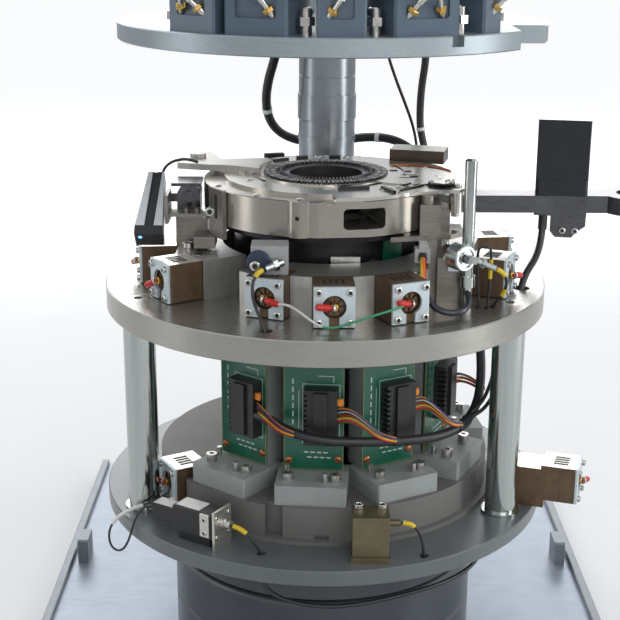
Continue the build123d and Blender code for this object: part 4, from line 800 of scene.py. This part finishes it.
carrier = Finish("carrier_black")
lug = ((carrier.x * IN_MM).between(3.9, 31.1, 0.2) * (carrier.y * IN_MM).below(-90.4, 0.2)
       * (carrier.z * IN_MM).between(432.9, 450.1, 0.2))
brushed, film = carrier.strokes(900, 60, 60), carrier.grain(160, 4)
worn_black = blend(film ** 2.0, (22, 22, 24), (52, 52, 54))
lug_steel = blend(brushed, (150, 150, 148), (214, 212, 208))
carrier.look(blend(lug, worn_black, lug_steel), 0.36 + (film - 0.5) * 0.2)
carrier.set("Metallic", 0.5 + lug * 0.4)
print("finishes so far", len(finishes))

# %% [markdown]
# ## Small bright finishes
# Sleeves, wires and small screws are only a few millimetres across, so one kind of finish does for
# all: a colour, a slightly darker cloud of it, and a shine.

# %% Wire, sleeve and screw finishes
def bright(name, colour, roughness=0.35, metallic=0.0):
    finish = Finish(name, metallic=metallic)
    cloud = finish.grain(300, 2)
    shade = (*(v * 0.72 for v in hue(colour)[:3]), 1.0)
    finish.look(blend(cloud, shade, colour), roughness + (cloud - 0.5) * 0.2)


bright("red_sleeve", (206, 34, 30))
bright("yellow_sleeve", (226, 196, 40))
bright("orange_tab", (236, 140, 30))
bright("white_sleeve", (232, 230, 226))
bright("green_wire", (34, 140, 90))
bright("blue_wire", (38, 52, 110))
bright("pink_wire", (214, 130, 130))
bright("brown_wire", (120, 74, 46))
bright("small_board", (6, 96, 70), 0.34)
bright("brass", (206, 170, 96), 0.28, 0.9)
bright("copper", (190, 116, 74), 0.32, 0.85)
# near-black: painted shade in screw sockets and sawn slots, and the real black of two grommets
bright("painted_shade_and_grommet_black", (20, 20, 22), 0.5)
bright("bright_steel", (214, 212, 206), 0.24, 0.95)
print("finishes", len(finishes))

# %% [markdown]
# ## Who wears what
# Every solid gets its finish, and then every cable. The names on the right are the machine's own
# pieces.

# %% Dress the solids
wardrobe = {
    "bed_metal_face": "bed_plate",
    "trim_metal_face": "bed_trims",
    "pedestal_grey": "pedestal",
    "lower_plate_grey": "lower_plate",
    "chrome_pillar": "pillars air_cylinder proximity_sensors guide_rod",
    "top_plate": "upper_plate",
    "screw_steel": "fasteners elbows",
    "cylinder_steel": "needle_cylinder spindle_bearings",
    "gear_steel_face": "needles selector_jacks air_rod motor_shaft plunger_1 plunger_2 plunger_3 "
                       "plunger_4 plunger_5 plunger_6 plunger_7 bull_gear drive_pinion",
    "sinker_teeth": "sinker_ring",
    "knitting_cam_steel": "knitting_cams",
    "ring_casting": "selector_casting",
    "holder_casting": "selector_holders",
    "plug_plastic": "board_plugs",
    "motor_lacquer": "motor",
    "amplifier_case": "sensor_amplifier",
    "actuator_bronze": "actuator_bodies",
    "end_plate_face": "actuator_end_plates",
    "ring_block_grey": "cam_base_ring left_cam_block",
    "disc_block_grey": "disc_block",
    "carrier_black": "cam_carrier",
    "polished_steel": "small_motor",
    "cam_ring_steel": "cam_ring",
    "cover_steel_top": "cam_cover",
    "bright_bracket": "left_bracket right_bracket alloy_block",
    "rear_arm_steel": "rear_arms",
    "clear_shell": "wire_connector",
    "dark_arm": "motor_arm",
    "column_steel": "column",
    "head_steel": "head_plate",
    "slate_blue": "feeder_blocks",
    "valve_case": "valve",
    "olive_bronze": "sensor_block",
    "board_lacquer": "selector_boards",
}
for finish, names in wardrobe.items():
    dress(names, finish)
cable_paints = {"loop_lead": "loop_wires", "terminal_wire": "terminal_wire"}
for name, cable in cables.items():
    cable.data.materials.append(finishes[cable_paints.get(name, "cable_rubber")])
print("dressed", sum(len(names.split()) for names in wardrobe.values()), "solids")

# %% [markdown]
# ## Screws on the cover and the cam ring
# The holes are in the solids. Each gets a low round head with a socket. A screw is a stack of
# radii: the rim is taken off, and the shade in the socket is painted: a second, near-black hexagon
# stands a hair proud of the bottom of a shallow dish.

# %% Cover screws
def cap_screw(shapes, place, radius, height, paint=0, dark=1):
    shapes.lathe(place, [(radius - 0.5, 0), (radius, 0.4), (radius, height - 0.5),
                         (radius - 0.5, height), (radius * 0.62, height),
                         (radius * 0.55, height - 0.5)], paint=paint)
    # the socket's dark is painted shade: a near-black hexagon a hair proud of the dish
    shapes.lathe(place, [(radius * 0.5, height - 0.6), (radius * 0.56, height - 0.42),
                         (radius * 0.3, height - 0.44)], sides=6, paint=dark)


COVER, RING_TOP, DIAL = 509.0, 506.0, 510.4
screws = Shapes()
for level, radius, height, places in (
        (COVER - 1.5, 3.2, 2.6, ((-81, -2), (-72, -35), (-23, 84), (-7, 88), (21, 86), (-60, 66),
                                 (-84, 30))),
        (COVER - 1.5, 2.4, 3.2, ((99, 26), (96, 4), (106, -15), (108, -30), (59, -72), (66, -68))),
        (RING_TOP, 3.0, 1.2, ((-109, 32), (-63.4, -91), (-24.1, -108), (36, 104), (-22, 107),
                              (-101, -48))),
        (COVER, 4.2, 2.4, ((121.5, -60),))):
    for x, y in places:
        cap_screw(screws, standing(x, y, level), radius, height)
screws.done("cover_screws", "frame", "fastener_steel", "bright_steel", "painted_shade_and_grommet_black")

# %% [markdown]
# ## Terminals, brass screws and slots on the actuators
# Each actuator shows a brass screw in the middle of its dark disc, and a red sleeved terminal that
# takes the wires off to one side. Four slots are sawn across its top; their shade is painted, as
# four near-black bars on the top, and so is the shade in the brass screw's slot. They are all
# placed in the unit's own frame, so the same lines serve every unit.

# %% Actuator details
PLATE_TOP, LOW_TOP, DISC_HEIGHT, UNIT_HEIGHT = 408.0, 197.0, 18, 35.8
upper_units = ((-83, 182), (-58, 181), (-20, 162), (2, 179), (24, 180), (68, 187), (98, 184))
lower_units = ((-60, 176), (72, 262))
units = [(angle, outer, PLATE_TOP + 1) for angle, outer in upper_units]
units += [(angle, outer, LOW_TOP + 8) for angle, outer in lower_units]
terminal_turns = (200, 205, -8, 172, 168, -12, 20, 190, -15)
fittings = Shapes()
for (angle, outer, foot), turn in zip(units, terminal_turns):
    middle = facing(angle, 0, -outer, foot + DISC_HEIGHT)
    fittings.lathe(middle, [(3.2, -6), (3.4, -5.6), (3.4, 1.2), (3.0, 1.6), (1.4, 1.8)], paint=0)
    # a near-black bar across the brass screw: painted shade in its slot
    fittings.slab(middle @ spin(turn / 2), box_outline(5.2, 0.9), 1.5, 2.0, 0.1, paint=1)
    side = middle @ spin(turn) @ shift(3.5, 0, 3.4) @ spin(78, "Y")
    fittings.lathe(side, [(1.4, -4), (1.5, 0), (2.7, 0.4), (3.0, 1.2), (3.0, 11), (2.5, 12.6),
                          (1.6, 13.2)], paint=2)
    fittings.lathe(side, [(3.3, -3.6), (3.6, -3.2), (3.6, -2.2), (3.3, -1.8)], paint=3)
    for i in range(4):
        slot_at = spin(angle) @ standing(-8.1 + 5.4 * i, -outer + 18, foot + UNIT_HEIGHT)
        # near-black bars on the top: painted shade in the sawn slots
        fittings.slab(slot_at, box_outline(2.7, 14), 0, 0.5, 0.15, paint=1)
fittings.done("actuator_fittings", "frame", "fastener_steel", "brass", "painted_shade_and_grommet_black", "red_sleeve",
              "bright_steel")

# %% [markdown]
# ## Pull tabs and board screws
# An orange tab helps to pull each plug. The boards are held by copper slotted screws, which stand
# on the six boards in the same places.

# %% Plug tabs and board screws
tabs = Shapes()
for number in range(6):
    angle = FIRST_BOARD + BOARD_STEP * number
    tab = facing(angle, 24.6, -128.5, 322)
    tabs.slab(tab, [(-3.2, -3.2), (2.6, -3.6), (3.6, 0), (2.4, 3.8), (-3.2, 3.2)], 0, 3.2, 0.5, 0)
    for x, z, turn in ((-23, 260, 20), (23, 262, 140), (23.5, 362, 70), (-23, 366, 100)):
        screw_at = facing(angle, x, -122.4, z)
        tabs.lathe(screw_at, [(3.4, 0), (3.6, 0.3), (3.2, 1.2), (2.2, 1.6), (0.8, 1.7)], 18, 1)
        # a near-black bar across each copper screw: painted shade in its slot
        tabs.slab(screw_at @ spin(turn), box_outline(5.4, 0.9), 1.4, 1.85, 0.1, 2)
tabs.done("plug_tabs_and_board_screws", "frame", "fastener_steel", "orange_tab", "copper",
          "painted_shade_and_grommet_black")

# %% [markdown]
# ## Sockets in the end plates
# Four socket screws hold each pale end plate. The solids have their stubs; a bright rim and a
# near-black hexagon of painted shade in the socket make each read as a screw. The square of
# screws is the same on every unit.

# %% End plate sockets
sockets = Shapes()
for angle, outer, foot in units:
    for x in (-13.5, 13.5):
        for z in (foot + 4.5, foot + 31.5):
            at = facing(angle, x, -outer - 0.2, z)
            sockets.lathe(at, [(2.7, 0), (3.1, 0.3), (3.1, 2.3), (2.6, 2.7), (1.9, 2.75)], 18, 0)
            # the near-black hexagon is painted shade in the socket
            sockets.lathe(at, [(1.5, 2.4), (1.9, 2.85), (0.4, 2.86)], 6, 1)
sockets.done("end_plate_sockets", "frame", "fastener_steel", "bright_steel", "painted_shade_and_grommet_black")

# %% [markdown]
# ## Small parts on the cover
# A dark toothed wheel sits on the front right of the cover, and black guide bars lie round the
# needles. A copper spring lies along the back edge of the round lobe. The wheel is a slab whose
# outline goes in and out, so the teeth are part of the one shape.

# %% Cover parts
cover_parts = Shapes()
wheel_at = standing(107, -56, COVER)
WHEEL_TEETH = 44
rim = []
for i in range(WHEEL_TEETH * 2):
    a = math.pi * i / WHEEL_TEETH
    r = 12.6 if i % 2 else 11.4
    rim.append((r * math.cos(a), r * math.sin(a)))
cover_parts.slab(wheel_at, rim, 0, 3.2, 0.3, 0)
cover_parts.lathe(wheel_at, [(8.5, 3.2), (8.8, 3.5), (8.6, 4.2), (3, 4.4)], 28, 1)
cap_screw(cover_parts, standing(113, -58, COVER + 3.4), 3.6, 2.6, 1, 2)


def guide_bar(x0, y0, x1, y1, width, height, level=COVER, paint=0):
    length = math.hypot(x1 - x0, y1 - y0)
    at = standing((x0 + x1) / 2, (y0 + y1) / 2, level, math.degrees(math.atan2(y1 - y0, x1 - x0)))
    cover_parts.slab(at, box_outline(length, width), -0.3, height, 0.4, paint)


for facts in ((10, -76, 39, -71, 4.5, 2.6), (12, -72, 22, -69.5, 3, 3.4),
              (51, -70, 61, -92, 3.6, 2.2), (67, -82, 90, -56, 2.4, 1.4),
              (71, -65, 78, -55, 2.6, 1.2, DIAL), (-63, 99, -43, 105, 6, 4.5, RING_TOP),
              (-30, 78, -18, 80, 5, 3.0), (4, 83, 16, 83, 5, 3.0), (-52, 62, -38, 72, 4, 2.4),
              (-98, 10, -90, 40, 5, 2.0, COVER, 1)):
    guide_bar(*facts)
for x, y in ((79, 4), (84, -21), (66, 8)):
    guide_bar(x - 4, y, x + 4, y + 1, 2.6, 0.8, DIAL)


def arc_line(x, y, radius, start, end, level, steps=28):
    turns = [math.radians(start + (end - start) * i / steps) for i in range(steps + 1)]
    return [Vector((x + radius * math.cos(a), y + radius * math.sin(a), level)) * MM
            for a in turns]


cover_parts.hose(arc_line(79, -10, 45.0, 20, 108, DIAL + 0.6), 0.9, 8, 3)
# the last of these black lines, radius 97.4 just under the cover's rim, is painted shade in the
# crease at its edge
for radius, start, end, level, thick in (
        (69, -78, -24, COVER + 0.3, 0.7), (70, 150, 215, COVER + 0.3, 0.7),
        (76, -8, 30, COVER + 1.5, 1.0), (97.4, 188, 300, COVER - 2.2, 0.5)):
    cover_parts.hose(arc_line(0, 0, radius, start, end, level), thick, 6, 0)
cover_parts.done("cover_parts", "frame", "fastener_steel", "black_steel", "bright_steel",
                 "painted_shade_and_grommet_black", "copper")

# %% [markdown]
# ## The amplifier's lamp and more screws
# The amplifier leans back, so its lamp is placed in its own turned frame. The big grey block, both
# brackets, the disc's block and the motor's clamp each show a few socket screws. Two grommets
# under the marked lead, a round cap and a small green board are in the same mesh.

# %% Lamp and more screws
LEFT_BLOCK_TOP = 445
lamp_at = (shift(*AMPLIFIER) @ spin(AMPLIFIER_TILT, "X") @ shift(0, -41, 0) @ spin(90, "X")
           @ standing(-8.2, 4.5, 0))
small_parts = Shapes()
small_parts.lathe(lamp_at, [(1.9, -0.6), (1.9, 0.2), (1.2, 0.7), (0.4, 0.85)], 18, 0)
cap_screw(small_parts, standing(-131, -43, LEFT_BLOCK_TOP), 5.2, 5.4, 1, 2)
for x, y in ((-120, -68), (-109, -56)):
    screw_at = standing(x, y, LEFT_BLOCK_TOP)
    small_parts.lathe(screw_at, [(5.0, -0.2), (5.0, 0.12), (3.9, 0.16)], 24, 1)
    # near-black hexagon: painted shade in the socket
    small_parts.lathe(screw_at, [(2.6, 0), (2.6, 0.22), (1.0, 0.24)], 6, 2)
cap_screw(small_parts, facing(0, -107, -76.6, 488), 4.2, 3.6, 1, 2)
cap_screw(small_parts, facing(0, -63, -146.6, 455), 4.5, 2.0, 1, 2)
clamp = standing(234, 23.5, 468, -11)
for x in (3, 15):
    cap_screw(small_parts, clamp @ facing(0, x, -25.2, -14), 3.2, 2.4, 1, 2)
for x, y in ((73.8, -71.6), (109.5, -66.8)):
    cap_screw(small_parts, standing(x, y, 472.4), 4.2, 4.2, 1, 2)
for x, y in ((138.5, -114.5), (146.5, -116)):
    small_parts.lathe(standing(x, y, 407.9), [(3.0, 0), (3.2, 0.4), (2.6, 1.2), (1.3, 1.4)], 18, 2)
small_parts.lathe(facing(30, 0, -88.5, 438), [(5.4, -1), (5.6, 1.5), (4.2, 3.6), (1.4, 4.6)], 24, 1)
small_parts.slab(facing(44, 0, -88.9, 450), box_outline(24, 20), -1, 1.2, 0.3, 3)
small_parts.done("lamp_and_block_screws", "frame", "fastener_steel", "blue_lamp", "bright_steel",
                 "painted_shade_and_grommet_black", "small_board")

# %% [markdown]
# ## The valve's panels and screws
# The valve is a black moulding with two bare white panels on top, and steel screws and a nut on
# its plates. They are placed in the valve's own turned frame. The sensor block beside it gets its
# two screws here as well.

# %% Valve parts
valve_place = standing(*VALVE, VALVE_TURN)
valve_parts = Shapes()
for outline, low in (([(-24, -8.5), (2, -8.5), (2, 8.5), (-24, 8.5)], 23.9),
                     ([(-52, -6.5), (-27, -6.5), (-27, 6.5), (-52, 6.5)], 17.9)):
    valve_parts.slab(valve_place, outline, low, low + 0.9, 0.4, 0)
valve_end = valve_place @ shift(22.4, 0, 0) @ spin(90, "Y")
for up_by, y in ((22, -9.5), (3, -9.5), (22, 9.5), (3, 9.5)):
    cap_screw(valve_parts, valve_end @ standing(-up_by, y, 0), 2.4, 1.4, 1, 2)
valve_side = valve_place @ shift(11, -12.8, 0) @ spin(90, "X")
for up_by in (6, 19):
    cap_screw(valve_parts, valve_side @ standing(0, up_by, 0), 2.6, 1.2, 1, 2)
valve_nut = [(5, 0), (5.4, 0.5), (5.4, 4), (3.4, 4.8), (3.2, 9)]
valve_parts.lathe(valve_end @ standing(-14, 0, 0), valve_nut, 20, 1)
for x in (30, 51):
    cap_screw(valve_parts, standing(x, -181, 240), 4.3, 4.3, 1, 2)
valve_parts.done("valve_plates", "frame", "fastener_steel", "white_sleeve", "bright_steel",
                 "painted_shade_and_grommet_black")

# %% [markdown]
# ## Fittings on the head's blocks
# Short steel air fittings with a brass nut lean out of the blocks on the head, above its rim. They
# could be bent tubes, but a stack of radii that is tilted as a whole looks the same from outside.
# They ride on the head, as their blocks do.

# %% Head fittings
head_fittings = Shapes()
for angle, x, lean in ((-38, -14, 25), (-38, 14, -30), (-19.5, 15, -20), (1.5, -12, 28),
                       (22.6, -18, 24), (22.6, 16, -26), (43, 0, 18)):
    fitting = (standing(5, 24.4, 0, angle) @ standing(x, -192, 668) @ spin(38, "X")
               @ spin(lean, "Y"))
    head_fittings.lathe(fitting, [(3.0, -2), (3.4, 0), (3.4, 9), (2.4, 9.8), (2.2, 18), (2.9, 18.6),
                                  (2.9, 25), (2.2, 25.8)], 18, 0)
    head_fittings.lathe(fitting, [(4.3, 8), (4.9, 8.6), (4.9, 11.6), (4.3, 12.2)], 6, 1)
head_fittings.done("head_fittings", "head", "fastener_steel", "bright_steel", "brass")

# %% [markdown]
# ## Paint for the small pieces
# The small pieces were made before the finishes, so they get their paints now, in the order in
# which their faces were numbered.

# %% Paint the small pieces
for mesh, paints in unpainted:
    for paint in paints:
        mesh.materials.append(finishes[paint])
print("painted", len(unpainted), "small pieces")

# %% [markdown]
# ## Floor
# A pale floor fills the picture behind the machine, because the camera looks down. It would turn
# grey far away from the lamps, so it also glows a little, but only for the camera: the machine
# isn't lit by that, and its shadow stays.

# %% Floor
floor_mesh = bpy.data.meshes.new("floor")
shape = bmesh.new()
corners = [shape.verts.new((x, y, 0.0)) for x, y in ((-30, -8), (30, -8), (30, 40), (-30, 40))]
shape.faces.new(corners)
shape.to_mesh(floor_mesh)
shape.free()
floor = put("floor", floor_mesh)
pale = Finish("pale_floor")
pale.look(blend(pale.grain(3, 2), (226, 227, 228), (234, 235, 236)), 0.9)
seen = pale.start.node("ShaderNodeLightPath", output="Is Camera Ray")
glow = seen * (0.08 + pale.radius.above(2.2, 2.4) * 0.5)
pale.set("Emission Color", blend(glow, (0, 0, 0, 1), (1, 1, 1, 1)))
pale.set("Emission Strength", 1.0)
floor.data.materials.append(pale.material)
print("floor at", floor.location.z)

# %% [markdown]
# ## Lamps and sky
# Plain soft light shows the finishes as they are. The two widest lamps stand low behind the
# machine, as windows would: their reflection makes the flat tops bright and leaves the fronts
# darker. One lamp hangs high at the back left, one fills from the front right, and a strip at each
# side draws long highlights down the round parts. The sky is white where it is seen, in metal too,
# and weaker where it only lights.

# %% Lamps and sky
def soft_lamp(name, place, width, height, power, aim_height=0.4):
    lamp = bpy.data.lights.new(name, "AREA")
    lamp.shape = "RECTANGLE"
    lamp.size, lamp.size_y, lamp.energy = width, height, power
    piece = put(name, lamp)
    piece.location = place
    towards = Vector((0, 0, aim_height)) - Vector(place)
    piece.rotation_euler = towards.to_track_quat("-Z", "Y").to_euler()
    piece.visible_camera = False


soft_lamp("left_window", (-1.3, 3.0, 1.42), 2.1, 1.25, 24)
soft_lamp("right_window", (1.45, 3.0, 1.42), 2.1, 1.25, 24)
soft_lamp("high_back_light", (-0.9, 1.2, 2.2), 1.6, 1.2, 15)
soft_lamp("front_fill", (0.8, -2.2, 1.5), 1.6, 1.4, 17, 0.3)
soft_lamp("left_strip", (-1.9, -0.4, 0.7), 0.4, 1.6, 5, 0.35)
soft_lamp("right_strip", (1.9, -0.5, 0.8), 0.4, 1.6, 14, 0.35)
world = bpy.data.worlds.new("even_sky")
bpy.context.scene.world = world
world.use_nodes = True
sky = world.node_tree.nodes["Background"]
sky_start = Wire(world.node_tree)
seen_by = [sky_start.node("ShaderNodeLightPath", output=f"Is {kind} Ray")
           for kind in ("Camera", "Glossy", "Transmission")]
shown = sum(seen_by[1:], seen_by[0]).capped()
LIGHTING_SKY, SEEN_SKY = 0.45, 0.92
strength = LIGHTING_SKY * (1 - shown) + SEEN_SKY * shown
sky.inputs["Color"].default_value = (0.95, 0.97, 1.0, 1)
world.node_tree.links.new(strength.socket, sky.inputs["Strength"])
bpy.context.scene.view_settings.view_transform = "Standard"
print("lamps", len(bpy.data.lights))

# %% [markdown]
# ## Last update
# The view layer is brought up to date once more.

# %% Finish
bpy.context.view_layer.update()
